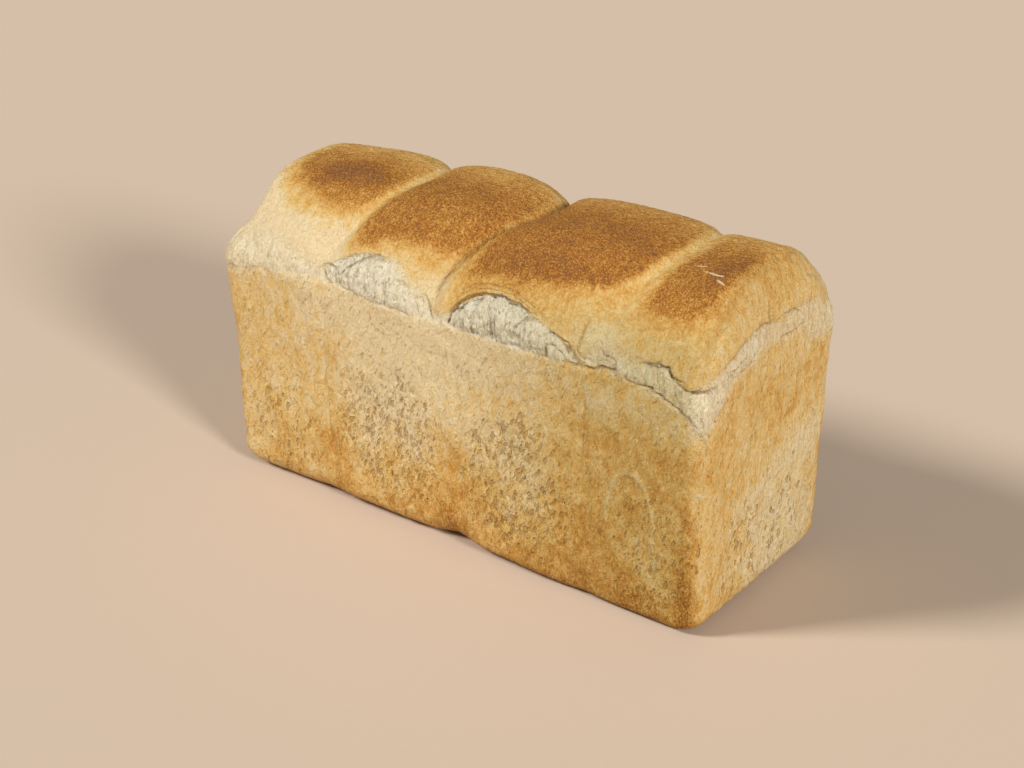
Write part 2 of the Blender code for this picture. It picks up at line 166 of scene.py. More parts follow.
# Cracks, in millimetres: depth, half width, and the points they pass, each a distance round and a height
CRACKS = (
    (1.0, 0.5, ((-72, 113), (-69, 116), (-63, 116.5), (-58, 114))),
    (1.2, 0.7, ((-59, 113.5), (-55, 118.5), (-48, 123.5), (-42, 126.3), (-33, 127.3))),
    (1.0, 0.5, ((-70, 114), (-66, 110), (-62, 109.5))),
    (0.9, 0.6, ((-28, 121.5), (-24, 120), (-20, 118))),
    (1.1, 0.6, ((-14, 117), (-10, 112), (-6.5, 107.5))),
    (0.4, 0.5, ((-6, 126), (-9, 122), (-8.5, 115), (-5, 110.5))),
    (2.0, 0.8, (
        (0.5, 109), (2, 113.5), (5, 118.5), (10, 122.7), (17, 126), (27, 127.6), (37, 126.6), (44, 124.5),
    )),
    (0.7, 0.6, ((2, 119), (6, 124), (12, 127.8), (20, 130), (33, 130.5), (47, 126.5), (54, 121))),
    (1.0, 0.5, ((5.5, 117), (8, 113), (14, 109))),
    (0.7, 0.4, ((29, 121), (27, 117), (27.5, 112))),
    (1.1, 0.6, ((38, 113), (37.5, 118.5), (41, 122.5), (47, 123))),
    (0.6, 0.5, ((45, 112), (44.5, 117), (48, 120.5))),
    (1.0, 0.6, ((50, 117.5), (54.5, 120.3), (58, 119.4), (63, 118), (66, 114), (70, 109.5))),
    (0.6, 0.5, ((52, 112), (53.5, 115.5), (57.5, 115), (61, 112), (64, 109))),
    (1.3, 0.7, ((60, 109.5), (68, 110.5), (75, 110.8), (80, 112.7), (88, 113.4))),
    (0.9, 0.6, ((70, 129), (68, 121), (67, 116), (71, 112.5))),
    (0.8, 0.5, ((77, 120), (80, 117), (84, 118), (88, 114.5))),
    (1.4, 0.7, ((97, 119), (103, 120.3), (110, 120.8), (112, 118), (117, 116.8))),
    (1.2, 0.7, ((115, 115), (119, 113.8), (124, 114.6), (127, 116))),
    (1.0, 0.6, ((90, 112), (96, 110), (103, 111.6), (110, 108.2), (117, 104.3), (122.6, 97.5))),
    (0.7, 0.4, ((101, 118), (100, 114.5), (101.5, 112))),
    (0.7, 0.4, ((107, 119), (106, 115.5), (108, 111))),
    (0.7, 0.4, ((113, 115), (113.5, 111), (116, 107.5))),
    (0.9, 0.6, ((131, 116.5), (139, 119.5), (145, 121))),
    (1.3, 0.6, ((150, 129), (156, 129.8), (162, 128.8), (165, 127))),
    (1.1, 0.6, ((168, 127.5), (174, 128.6), (181, 128), (186, 125))),
    (1.2, 0.6, ((140, 115), (147, 117.5), (156, 121.5))),
    (1.2, 0.6, ((171, 119.5), (178, 118.4), (187, 120.3))),
    (0.35, 0.6, ((-62, 84), (-62.8, 74), (-62, 64))),
    (0.4, 0.6, ((0.5, 107), (0, 96), (1.5, 84))),
    (0.45, 0.7, ((71, 109), (71.8, 94), (70.6, 74), (70, 50), (69, 22))),
    (1.2, 0.6, ((163.2, 127), (162.8, 132), (163.6, 138))),
    (2.0, 0.8, ((262, 111), (268, 118), (278, 123), (292, 124), (304, 121.5))),
    (1.2, 0.6, ((284, 113), (290, 118), (298, 118.5))),
    (2.2, 0.9, ((330, 110), (336, 117), (348, 124), (362, 125.5), (376, 120))),
    (1.1, 0.6, ((352, 112), (357, 118), (365, 120))),
    (1.7, 0.7, ((404, 110), (411, 117), (422, 121), (434, 120))),
    (1.2, 0.6, ((240, 116), (248, 119), (257, 117.5))),
    (1.2, 0.6, ((484, 124), (494, 127), (506, 126))),
    (1.0, 0.6, ((462, 114), (470, 117), (478, 120))),
    (0.4, 0.6, ((332, 107), (333, 80), (331, 30))),
    (0.4, 0.6, ((404, 108), (405, 82), (404, 34))),
)
# Short cracks that run up the crust from the tear: the place round the loaf, the foot's height, the length
UPRIGHT_CRACKS = ((285.0, 122.0, 9.0), (500.0, 126.0, 10.0))
UPRIGHT_DEPTH = 0.0013
UPRIGHT_WIDTH = 0.0007

# The pits that steam left in the walls, in millimetres: a patch's middle and half size, how crowded it is,
# and the count, length and depth of its larger pits
Patch = namedtuple("Patch", "middle half crowded count long deep")
PIT_PATCHES = (
    Patch((-97, 30), (24, 26), 0.50, 26, 1.7, 0.36),
    Patch((-34, 44), (29, 34), 1.0, 95, 1.9, 0.44),
    Patch((-30, 34), (24, 20), 1.0, 18, 2.8, 0.55),
    Patch((36, 42), (29, 36), 1.0, 95, 1.9, 0.44),
    Patch((33, 30), (24, 20), 1.0, 18, 2.6, 0.55),
    Patch((104, 32), (20, 32), 0.75, 40, 1.1, 0.36),
    Patch((165, 30), (34, 28), 0.35, 14, 1.5, 0.40),
    Patch((150, 34), (12, 14), 0.60, 7, 3.0, 0.80),
    Patch((240, 36), (22, 30), 0.55, 30, 1.6, 0.45),
    Patch((298, 42), (28, 34), 1.0, 95, 1.9, 0.44),
    Patch((372, 40), (27, 34), 1.0, 90, 1.9, 0.44),
    Patch((428, 36), (22, 30), 0.55, 30, 1.6, 0.45),
    Patch((503, 32), (36, 28), 0.40, 20, 1.6, 0.45),
)
SWIRLS = (((94.0, 46.0), (11.5, 23.0)), ((412.0, 44.0), (13.0, 21.0)))

# The torn band's relief
LEDGE_DEPTH = 0.0008
PILLOW_RISE = 0.0026
EDGE_WIDTH = 0.0008
LIP_PROUD = 0.0005
LIP_FADE = 0.008
CRACK_FADE = 0.0016
OVERHANG = 0.55
CRACK_REACH = 6  # half widths
CRACK_LIP = 0.22
FULL_SHADOW_DEPTH = 0.0017
SWIRL_RISE = 0.0005

# How far in from the creases or ends the sides of each lobe's dark cap lie, its front and back edges, in
# millimetres, and how brown it is
Cap = namedtuple("Cap", "left right front_left front_right back brown")
CAPS = (
    Cap(18, 2, -27, -33, 30, 0.76),
    Cap(4, 7, -44, -36, 34, 0.82),
    Cap(3, 3, -43, -38, 36, 0.86),
    Cap(6, 9.5, -40, -40, 28, 0.80),
)
CAP_CORNER = 15
# Darker places on the caps: the middle, the half sizes and how much darker
SCORCHES = (
    ((-79.0, -15.0), (22.0, 13.0), 0.21),
    ((40.0, -38.0), (34.0, 10.0), 0.05),
    ((113.0, -10.0), (8.0, 22.0), 0.12),
)
# Pale flakes that lifted off the fourth lobe's cap: the middle, the half length and half width, and the turn
FLAKES = (
    ((0.1025, -0.0165), (0.0030, 0.00035), -0.25),
    ((0.1110, -0.0195), (0.0042, 0.00050), 0.10),
    ((0.1155, -0.0230), (0.0026, 0.00055), 0.35),
)
# Paler fields on the long walls, where the dough hardly touched the tin: middle, half sizes, how much paler
PALE_FIELDS = (
    ((-34.0, 48.0), (25.0, 30.0), 0.15),
    ((36.0, 42.0), (17.0, 26.0), 0.14),
    ((104.0, 24.0), (9.0, 12.0), 0.12),
)
# The same on the front of the crown
PALE_SHOULDERS = (
    ((78.0, 120.0), (9.0, 7.0), 0.26),
    ((-12.0, 118.0), (8.0, 6.0), 0.16),
)
# How baked each place is: 0 is pale dough, 0.45 is golden and 1 is scorched
SHOULDER_BAKE = (0.08, 0.40)
CAP_EDGE_BAKE = 0.56
CREASE_PALER = (0.24, 0.32)
BACK_PALER = 0.25
WALL_BAKE = 0.45
FOOT_BROWNER = 0.12
WALL_MIDDLE_PALER = 0.22
END_MIDDLE_PALER = 0.19
WALL_SEAMS = ((-64, 0.06), (4, 0.04), (74, 0.04))
CORNERS = (-126.0, 120.5, 210.0, 453.0)
CORNER_BROWNER = 0.20
CORNER_TOP_PALER = 0.22
SWIRL_PALER = 0.16

# The crust's finish
WRINKLE_LEAN = math.radians(-14)
PIT_LEAN = math.radians(-22)
PIT_WARP = 0.0024
PIT_SHADE = 0.50
CLEFT_SHADE = 0.64
BAND_RAGGED = 2.2
CRUST_SPECULAR = 0.12

# The studio
FLOOR_SIZE = 6
CAMERA_AIM = Vector((0.0013, -0.0067, 0.063))
SENSOR_WIDTH = 36.0
KEY_TOWARDS = Vector((-0.8, -0.8, 0.9))
FILL_TOWARDS = Vector((1.0, -0.35, 0.5))
ROOM_COLOUR = (1.0, 0.97, 0.93, 1)

# The net of faces: each direction of the block is cut in two passes
NET_CUTS = ((20, 20), (10, 16), (10, 24))
ROW_SHARES = (0.0, 0.66, 0.94, 1.0)
ROW_HEIGHTS = (0.0, 0.665, 0.935, 1.0)
MOST_TRIANGLES = 196000
MAP_STEP = 0.00025
MAP_HEIGHT = 0.156
FAR_GAP = 6.0  # stands for no crack nearby
CROWN_FROM = (0.138, 0.144)
OFF_BASE = 0.007
SEED = 7


def srgb(red, green, blue):
    """A colour seen as red, green and blue in 0..255, in the linear values that Blender works in."""
    shades = (red / 255, green / 255, blue / 255)
    return tuple(((shade + 0.055) / 1.055) ** 2.4 for shade in shades)


def colour_setting(name, seen, description):
    """A colour setting, given as it is seen: red, green and blue in 0..255."""
    return bpy.props.FloatVectorProperty(
        name=name, description=description, default=srgb(*seen), size=3, min=0, max=1, subtype="COLOR"
    )


class TinLoafShape(bpy.types.PropertyGroup):
    tear_depth: bpy.props.FloatProperty(
        name="Tear Depth", description="How deep the cracks of the torn band are, against the real loaf",
        default=1.0, min=0.0, max=2.0, subtype="FACTOR",
    )
    pit_depth: bpy.props.FloatProperty(
        name="Pit Depth", description="How deep the steam pits in the walls are, against the real loaf",
        default=1.0, min=0.0, max=2.0, subtype="FACTOR",
    )
    strand_depth: bpy.props.FloatProperty(
        name="Strand Depth", description="How rough the torn dough is",
        default=0.00065, min=0.0, max=0.002, unit="LENGTH", precision=5,
    )
    crown_grain: bpy.props.FloatProperty(
        name="Crown Grain", description="How high the pebbly grain of the crown stands",
        default=0.00016, min=0.0, max=0.001, unit="LENGTH", precision=5,
    )


class TinLoafCrust(bpy.types.PropertyGroup):
    pale: colour_setting("Pale Shoulder", (212, 189, 149), "Crust that hardly browned, on the shoulders")
    straw: colour_setting("Straw", (210, 189, 146), "Lightly baked wall")
    golden: colour_setting("Golden", (205, 168, 101), "Well baked wall")
    amber: colour_setting("Amber", (189, 139, 68), "The edges of the caps and the foot")
    brown: colour_setting("Brown", (152, 93, 26), "The caps of the lobes")
    scorched: colour_setting("Scorched", (124, 80, 46), "The darkest places of the caps")
    torn: colour_setting("Torn Dough", (217, 207, 182), "Dough that tore late and stayed pale")
    fibre: colour_setting("Fibres", (195, 182, 146), "The darker threads of the torn dough")
    # Partly the browner crust at the bottoms of pits and gaps, partly painted shade in them
    hollow_brown_and_shade: colour_setting("Hollows", (160, 113, 44), "The bottoms of the pits")
    # Painted shadow in the cracks, under the lip above them
    cleft_shadow: colour_setting("Cleft Shadows", (132, 97, 44), "The bottoms of the cracks")
    bran: colour_setting("Bran", (212, 155, 78), "Flakes of bran in the crust")
    # Painted shade: the colour that darkens the walls towards the right of the front and the left of the back
    painted_shade_colour: bpy.props.FloatVectorProperty(
        name="Painted Shade", description="What the dullest places of the walls are darkened by",
        default=(0.75, 0.76, 0.68), size=3, min=0, max=1, subtype="COLOR",
    )
    roughness: bpy.props.FloatProperty(
        name="Roughness", description="How dull the crust is",
        default=0.72, min=0.0, max=1.0, subtype="FACTOR",
    )


class TinLoafStudio(bpy.types.PropertyGroup):
    floor: colour_setting("Floor", (191, 170, 149), "The plain floor")
    key: bpy.props.FloatProperty(
        name="Key Light", description="Strength of the soft light from the front left", default=2.95, min=0.0
    )
    fill: bpy.props.FloatProperty(
        name="Fill Light", description="Strength of the soft light on the right end", default=2.88, min=0.0
    )
    softness: bpy.props.FloatProperty(
        name="Softness", description="How wide both lights are, as seen from the loaf",
        default=math.radians(13), min=0.0, subtype="ANGLE",
    )
    room: bpy.props.FloatProperty(
        name="Room Light", description="Strength of the light from all round", default=0.278, min=0.0
    )
    azimuth: bpy.props.FloatProperty(
        name="Camera Azimuth", description="How far round to the right the camera stands",
        default=math.radians(37.36), subtype="ANGLE",
    )
    elevation: bpy.props.FloatProperty(
        name="Camera Elevation", description="How far above the level the camera stands",
        default=math.radians(26.99), subtype="ANGLE",
    )
    distance: bpy.props.FloatProperty(
        name="Camera Distance", description="From the camera to its aim", default=0.9729, unit="LENGTH"
    )
    lens: bpy.props.FloatProperty(
        name="Lens", description="Focal length in millimetres",
        default=78.09, min=1.0, subtype="DISTANCE_CAMERA",
    )


# Numbers that several parts of the loaf share


def smooth_step(x, low, high):
    t = np.clip((x - low) / (high - low), 0, 1)
    return t * t * (3 - 2 * t)


def mix(a, b, share):
    return a + (b - a) * share


def ring(across, up, middle, half):
    """0 in the middle of an oval and 1 at its edge."""
    return np.hypot((across - middle[0]) / half[0], (up - middle[1]) / half[1])


def lattice_noise(points, cell, seed):
    """Smooth random values, in -1..1, that change over about one cell of the given size."""
    table = np.random.default_rng(seed).uniform(-1, 1, 4096)
    scaled = points / np.asarray(cell)
    corner = np.floor(scaled).astype(int)
    t = scaled - corner
    t = t * t * (3 - 2 * t)
    total = np.zeros(len(points))
    for dx in (0, 1):
        for dy in (0, 1):
            for dz in (0, 1):
                i, j, k = (corner + (dx, dy, dz)).T
                weight = abs(1 - dx - t[:, 0]) * abs(1 - dy - t[:, 1]) * abs(1 - dz - t[:, 2])
                total += weight * table[(i * 73 + j * 179 + k * 283) % 4096]
    return total


def crease_lines(y, half_width):
    """Where along the loaf each crease lies at the depth y."""
    bow = np.clip(1 - (y / half_width) ** 2, 0, 1)
    front = 1 - smooth_step(y, -half_width, 0.0)
    parts = zip(SEAMS, CREASE_BOWS, CREASE_SHIFTS)
    return [seam + height * bow + shift * front for seam, height, shift in parts]


def way_round(points):
    """The distance round the loaf from the middle of its front wall, rising towards +X."""
    x, y = points[:, 0], points[:, 1]
    core_x = np.clip(x, -TURN_HALF_LENGTH, TURN_HALF_LENGTH)
    core_y = np.clip(y, -TURN_HALF_WIDTH, TURN_HALF_WIDTH)
    facing = np.arctan2(x - core_x, core_y - y)
    facing = np.where(facing <= -math.pi / 2, facing + 2 * math.pi, facing)
    on_right = TURN_HALF_LENGTH + TURN_HALF_WIDTH + core_y
    on_back = 2 * (TURN_HALF_LENGTH + TURN_HALF_WIDTH) - core_x
    on_left = 3 * (TURN_HALF_LENGTH + TURN_HALF_WIDTH) - core_y
    sides = [facing < math.pi / 2, facing < math.pi, facing < 1.5 * math.pi]
    return np.select(sides, [core_x, on_right, on_back], on_left) + TURN_RADIUS * facing


def chain(arches, round_about):
    """Where each distance round the loaf is on a chain of arches: the arch, how far along it and how high."""
    starts, heights, rises = np.array(arches)[:, :3].T * MM
    number = np.clip(np.searchsorted(starts, round_about, side="right") - 1, 0, len(arches) - 1)
    ends = np.append(starts[1:], starts[0] + RING)
    t = np.clip((round_about - starts[number]) / (ends[number] - starts[number]), 0, 1)
    rise = rises[number] * (4 * t * (1 - t))
    return number, t, mix(heights[number], np.roll(heights, -1)[number], t) + rise


def tears_under_lip(number, t):
    """How deep the crack under each place of the lip is, and how torn the dough under it is."""
    cracks, torn = np.array(LIP_ARCHES)[:, 3:].T
    edge = smooth_step(t, 0.0, 0.15) * smooth_step(1 - t, 0.0, 0.15)
    before, after = np.roll(torn, 1)[number], np.roll(torn, -1)[number]
    beside = np.where(t < 0.5, (torn[number] + before) / 2, (torn[number] + after) / 2)
    return cracks[number] * MM * np.sqrt(4 * t * (1 - t)), mix(beside, torn[number], edge)


# The loaf's smooth form


def smooth_form(u, v, w):
    """Carries a cube's skin, u and v in -1..1 and w in 0..1, to the loaf without its cracks and pits."""
    z = w * SHOULDER_TOP
    in_tin = np.minimum(z, TIN_HEIGHT)
    half_length = BASE_LENGTH / 2 + WALL_DRAFT * in_tin
    half_width = BASE_WIDTH / 2 + WALL_DRAFT * in_tin
    along, across = u * half_length, v * half_width

    up = np.clip((z - SHOULDER_TOP + SHOULDER_HEIGHT) / SHOULDER_HEIGHT, 0, 1)
    corner = mix(BASE_CORNER_RADIUS, RIM_CORNER_RADIUS, in_tin / TIN_HEIGHT)
    reach_x = mix(corner, np.where(u < 0, *END_SHOULDER_REACHES), up)
    reach_y = mix(corner, SIDE_SHOULDER_REACH, up)
    core_x = np.clip(along, reach_x - half_length, half_length - reach_x)
    core_y = np.clip(across, reach_y - half_width, half_width - reach_y)
    out_x, out_y = abs(along - core_x) / reach_x, abs(across - core_y) / reach_y
    power = SHOULDER_SQUARENESS
    far = np.maximum(np.maximum(out_x, out_y), up)
    length = (out_x**power + out_y**power + up**power) ** (1 / power)
    pull = far / np.maximum(length, 1e-9)
    x = core_x + (along - core_x) * np.where(far > 0, pull, 1)
    y = core_y + (across - core_y) * np.where(far > 0, pull, 1)
    z = np.where(up > 0, SHOULDER_TOP - SHOULDER_HEIGHT + up * pull * SHOULDER_HEIGHT, z)

    x = x - LEFT_FLARE * (np.minimum(z, TIN_HEIGHT) - FLARE_LEVEL) * smooth_step(-x, *FLARE_REACH)
    side_foot = mix(*SIDE_FOOT_RADII, smooth_step(x, *SIDE_FOOT_CHANGE))
    for seam, notch in zip(SEAMS, FOOT_NOTCHES):
        side_foot = side_foot + notch * np.exp(-(((x - seam - FOOT_NOTCH_SHIFT) / FOOT_NOTCH_WIDTH) ** 2))
    end_foot = mix(*END_FOOT_RADII, smooth_step(y, -half_width, half_width))
    x = x - np.sign(x) * foot_inset(z, end_foot) * nearness(along, half_length, end_foot)
    y = y - np.sign(y) * foot_inset(z, side_foot) * nearness(across, half_width, side_foot)
    return raised_lobes(np.column_stack([x, y, z]), half_width)


def foot_inset(z, radius):
    """How far a rounded foot stands in from the wall above it."""
    return radius * (1 - np.sqrt(1 - np.clip(1 - z / radius, 0, 1) ** 2))


def nearness(place, half_size, radius):
    """1 at the wall, falling to 0 two radii in from it."""
    return np.clip((abs(place) - half_size) / (2 * radius) + 1, 0, 1)


def raised_lobes(points, half_width):
    """Swells the crown into four lobes with soft valleys between them."""
    x, y, z = points.T
    blend = smooth_step(z, *LOBE_BLEND)
    end = BASE_LENGTH / 2 + WALL_DRAFT * TIN_HEIGHT
    creases = crease_lines(y, half_width)
    borders = [np.full_like(x, -end), *creases, np.full_like(x, end)]
    rise = np.zeros_like(x)
    for number, lobe_rise in enumerate(LOBE_RISES):
        low, high = borders[number], borders[number + 1]
        t = (x - (low + high) / 2) / ((high - low) / 2)
        sag = np.where(t < 0, LOBE_LEFT_SAGS[number], LOBE_RIGHT_SAGS[number])
        lean = LOBE_LEANS[number] * np.clip(t, -LOBE_OVERRUN, LOBE_OVERRUN)
        lobe = lobe_rise + lean - sag * np.clip(abs(t), 0, LOBE_OVERRUN) ** LOBE_ROUNDNESS
        begun = smooth_step(x, low - LOBE_JOIN, low + LOBE_JOIN) if number else 1
        rise = mix(rise, lobe, begun)
    for crease in creases:
        rise = rise - CREASE_DEPTH * np.exp(-(((x - crease) / CREASE_WIDTH) ** 2))

    outward = np.column_stack([np.zeros_like(x), y, z - LOBE_AXIS_HEIGHT])
    outward /= np.maximum(np.linalg.norm(outward, axis=1), 1e-9)[:, None]
    points = points + outward * (rise * blend)[:, None]
    crown = CROWN_RISE * (1 - (y / half_width) ** 2) * smooth_step(z, TIN_HEIGHT, SHOULDER_TOP)
    points[:, 2] += crown
    return points


# The relief of the walls and the torn band, drawn on the loaf's unrolled side


class SideDrawing:
    """The unrolled side of the loaf: columns go round it and rows go up, a quarter of a millimetre apart."""

    def __init__(self):
        self.columns = int(round(RING / MAP_STEP))
        self.rows = int(round(MAP_HEIGHT / MAP_STEP))
        self.round = RING_START + (np.arange(self.columns) + 0.5) * MAP_STEP
        self.height = (np.arange(self.rows) + 0.5) * MAP_STEP

    def blank(self):
        return np.zeros((self.rows, self.columns))

    def noise(self, size_round, size_up, seed):
        """Smooth random values with a spread of 1, blurred by the given sizes."""
        values = np.random.default_rng(seed).standard_normal((self.rows, self.columns))
        up = np.fft.fftfreq(self.rows, MAP_STEP)[:, None] * size_up
        along = np.fft.rfftfreq(self.columns, MAP_STEP)[None, :] * size_round
        blur = np.exp(-2 * math.pi**2 * (up**2 + along**2))
        values = np.fft.irfft2(np.fft.rfft2(values) * blur, s=(self.rows, self.columns))
        return values / values.std()

    def window(self, low_round, high_round, low, high):
        """The columns, which may run over the seam at the back of the count, and the rows of a small area."""
        first = int(math.floor((low_round - RING_START) / MAP_STEP))
        last = int(math.ceil((high_round - RING_START) / MAP_STEP)) + 1
        bottom = max(int(low / MAP_STEP), 0)
        top = min(int(math.ceil(high / MAP_STEP)) + 1, self.rows)
        columns = np.arange(first, last)
        across = RING_START + (columns + 0.5) * MAP_STEP
        return columns % self.columns, slice(bottom, top), across[None, :], self.height[bottom:top, None]

    def read(self, drawing, round_about, z):
        """The drawing's values at points of the skin, blended between its cells."""
        column = (round_about - RING_START) / MAP_STEP - 0.5
        row = np.clip(z / MAP_STEP - 0.5, 0, self.rows - 1.001)
        c, r = np.floor(column).astype(int), np.floor(row).astype(int)
        fc, fr = column - c, row - r
        c0, c1 = c % self.columns, (c + 1) % self.columns
        low = mix(drawing[r, c0], drawing[r, c1], fc)
        return mix(low, mix(drawing[r + 1, c0], drawing[r + 1, c1], fc), fr)


def draw_cracks(side, shape):
    """The cracks' depth, how far the skin above them stands out and sags, and for the material how far away
    the nearest crack is, in its own half widths, and how deep, which sets how dark its painted shadow is."""
    trench, lip, sag = side.blank(), side.blank(), side.blank()
    gap, cleft_shadow = side.blank() + FAR_GAP, side.blank()
    wobble = side.noise(0.0012, 0.0012, SEED + 10) * 0.00028
    for deep, wide, places in CRACKS:
        path = np.array(places, float) * MM
        depth, width = deep * MM * shape.tear_depth, wide * MM
        low, high = path.min(axis=0) - CRACK_REACH * width, path.max(axis=0) + CRACK_REACH * width
        columns, rows, across, up = side.window(low[0], high[0], low[1], high[1])
        near, above, along = distance_to_path(path, across, up)
        cells = np.ix_(np.arange(rows.start, rows.stop), columns)
        signed = np.where(above > 0, near, -near) / width
        closer = abs(signed) < abs(gap[cells])
        gap[cells] = np.where(closer, signed, gap[cells])
        # The painted shadow in a crack is darker the deeper the crack is
        crack_shadow_strength = np.clip(depth / FULL_SHADOW_DEPTH, 0, 1) * np.clip(5 * along * (1 - along), 0, 1) ** 0.5
        cleft_shadow[cells] = np.where(closer, crack_shadow_strength * smooth_step(-abs(signed), -3.2, -2.2), cleft_shadow[cells])
        above = above + wobble[cells]
        near = abs(np.where(above > 0, 1, -1) * near + wobble[cells])
        taper = np.clip(4 * along * (1 - along), 0, 1) ** 0.45
        steep, gentle = np.exp(-((near / (0.6 * width)) ** 2)), np.exp(-near / width)
        trench[cells] = np.maximum(trench[cells], depth * taper * np.where(above > 0, steep, gentle))
        over = np.clip(above, 0, None)
        bank = np.exp(-((near - 1.6 * width) ** 2) / (1.4 * width) ** 2)
        raised = CRACK_LIP * depth * taper * (above > 0) * bank
        lip[cells] = np.maximum(lip[cells], raised)
        hang = OVERHANG * depth * taper * (above > 0) * np.exp(-(over + near) / (3 * width))
        sag[cells] = np.maximum(sag[cells], hang)
    return trench, lip, sag, gap, cleft_shadow


def distance_to_path(path, across, up):
    """The distance to a chain of points, the height above it and the share of its length, for every cell."""
    nearest = np.full(np.broadcast(across, up).shape, 1.0)
    above = np.zeros_like(nearest)
    along = np.zeros_like(nearest)
    lengths = np.linalg.norm(np.diff(path, axis=0), axis=1)
    done = 0.0
    for start, end, length in zip(path[:-1], path[1:], lengths):
        step = (end - start) / length
        t = np.clip(((across - start[0]) * step[0] + (up - start[1]) * step[1]) / length, 0, 1)
        off_x = across - start[0] - step[0] * length * t
        off_z = up - start[1] - step[1] * length * t
        away = np.hypot(off_x, off_z)
        side = step[0] * off_z - step[1] * off_x
        closer = away < nearest
        above = np.where(closer, side, above)
        along = np.where(closer, (done + t * length) / lengths.sum(), along)
        nearest = np.where(closer, away, nearest)
        done += length
    return nearest, above, along


def draw_pits(side, shape):
    """How deep the larger steam pits are: upright ovals in patches."""
    chance = np.random.default_rng(SEED + 20)
    pits = side.blank()
    for patch in PIT_PATCHES:
        for _ in range(patch.count):
            turn, out = chance.uniform(0, 2 * math.pi), math.sqrt(chance.uniform(0, 1))
            place = patch.middle[0] + patch.half[0] * out * math.cos(turn)
            height = patch.middle[1] + patch.half[1] * out * math.sin(turn)
            size = chance.lognormal(0, 0.35)
            press_pit(side, pits, chance, place * MM, height * MM, patch.long * size, patch.deep * size)
    return pits * shape.pit_depth


def crowding(round_about, z):
    """How crowded the pits are on the walls, in 0..1."""
    crowded = np.zeros_like(z)
    for patch in PIT_PATCHES:
        r = ring(round_about / MM, z / MM, patch.middle, patch.half)
        crowded = np.maximum(crowded, patch.crowded * (1 - smooth_step(r, 0.55, 1.25)))
    return crowded


def press_pit(side, pits, chance, place, height, long, deep):
    """Presses one oval pit, of half length and depth in millimetres, into the drawing."""
    half_length = 0.75 * long * MM
    half_width = half_length * chance.uniform(0.26, 0.62)
    tilt = chance.normal(0, 0.28)
    reach = half_length * 1.3
    columns, rows, across, up = side.window(place - reach, place + reach, height - reach, height + reach)
    if rows.stop <= rows.start:
        return
    off_x, off_z = across - place, up - height
    along = (off_z * math.cos(tilt) + off_x * math.sin(tilt)) / half_length
    beside = (off_x * math.cos(tilt) - off_z * math.sin(tilt)) / half_width
    cells = np.ix_(np.arange(rows.start, rows.stop), columns)
    pit = min(deep, 1.5) * MM * np.clip(1 - along**2 - beside**2, 0, 1) ** 0.8
    pits[cells] = np.maximum(pits[cells], pit)


def draw_swirls(side):
    """Faint raised arcs where a roll of dough turned over."""
    ridge = side.blank()
    across, up = side.round[None, :] / MM, side.height[:, None] / MM
    for middle, half in SWIRLS:
        upper = smooth_step(up, middle[1] - 0.9 * half[1], middle[1] + 0.2 * half[1])
        ridge += upper * np.exp(-(((ring(across, up, middle, half) - 1) / 0.07) ** 2))
    return ridge


def draw_side(shape):
    """Draws the whole side: how far the skin moves outwards and down, and masks for its colours."""
    side = SideDrawing()
    z = side.height[:, None]
    number, along, lip = chain(LIP_ARCHES, side.round)
    lip_crack, tearing = tears_under_lip(number, along)
    _, _, rim = chain(RIM_ARCHES, side.round)
    ragged = side.noise(0.0035, 0.0035, SEED) * 0.0006 + side.noise(0.0009, 0.0009, SEED + 1) * 0.00035
    above_lip = z - lip - ragged
    above_rim = z - rim - 0.6 * ragged
    soft = mix(0.0045, EDGE_WIDTH, smooth_step(lip_crack, 0.0002, 0.0012))
    crust = smooth_step(above_lip / soft, -1, 1)
    band = smooth_step(above_rim, -EDGE_WIDTH, EDGE_WIDTH) * (1 - crust)
    torn = band * tearing

    strands = side.noise(0.00042, 0.0024, SEED + 2) * 0.55 + side.noise(0.0010, 0.0048, SEED + 3) * 0.6
    tangle = side.noise(0.0014, 0.0005, SEED + 4) * 0.22
    gaps = np.clip(side.noise(0.0007, 0.0014, SEED + 5) - 1.25, 0, 1.2) * 0.0007
    share = np.clip(above_rim / np.maximum(lip - rim, 0.002), 0, 1)
    pillow = PILLOW_RISE * np.sqrt(np.sin(math.pi * share)) * smooth_step(lip - rim, 0.004, 0.016)
    trench, crack_lip, sag, gap, cleft_shadow = draw_cracks(side, shape)
    under_lip = lip_crack * (1 - crust) * np.exp(np.clip(above_lip, None, 0) / CRACK_FADE) * shape.tear_depth

    in_tin = 1 - smooth_step(above_rim, -EDGE_WIDTH, EDGE_WIDTH)
    pits = draw_pits(side, shape) * in_tin
    swirl = draw_swirls(side) * in_tin
    wrinkles = side.noise(0.0006, 0.0016, SEED + 6) * 0.00007 + side.noise(0.0016, 0.0024, SEED + 7) * 0.00015
    lumps = side.noise(0.0055, 0.0065, SEED + 8) * 0.00020

    out = LIP_PROUD * crust * np.exp(-np.clip(above_lip, 0, None) / LIP_FADE)
    out += torn * (pillow - LEDGE_DEPTH + shape.strand_depth * (strands + tangle) - gaps)
    out += crack_lip - trench - under_lip - pits + SWIRL_RISE * swirl
    out += (wrinkles + lumps) * (0.4 + 0.6 * in_tin)
    out -= draw_upright_cracks(side)
    sag += OVERHANG * lip_crack * crust * np.exp(-np.clip(above_lip, 0, None) / CRACK_FADE)
    return side, {
        "out": out,
        "sag": sag,
        "above_lip": z - lip + 0.5 * ragged,
        "above_rim": z - rim + 0.5 * ragged,
        "tearing": tearing + 0 * z,
        "sharp": smooth_step(lip_crack, 0.0001, 0.0007) + 0 * z,
        "gap": gap,
        "cleft_shadow": cleft_shadow,
        "swirl": swirl,
    }


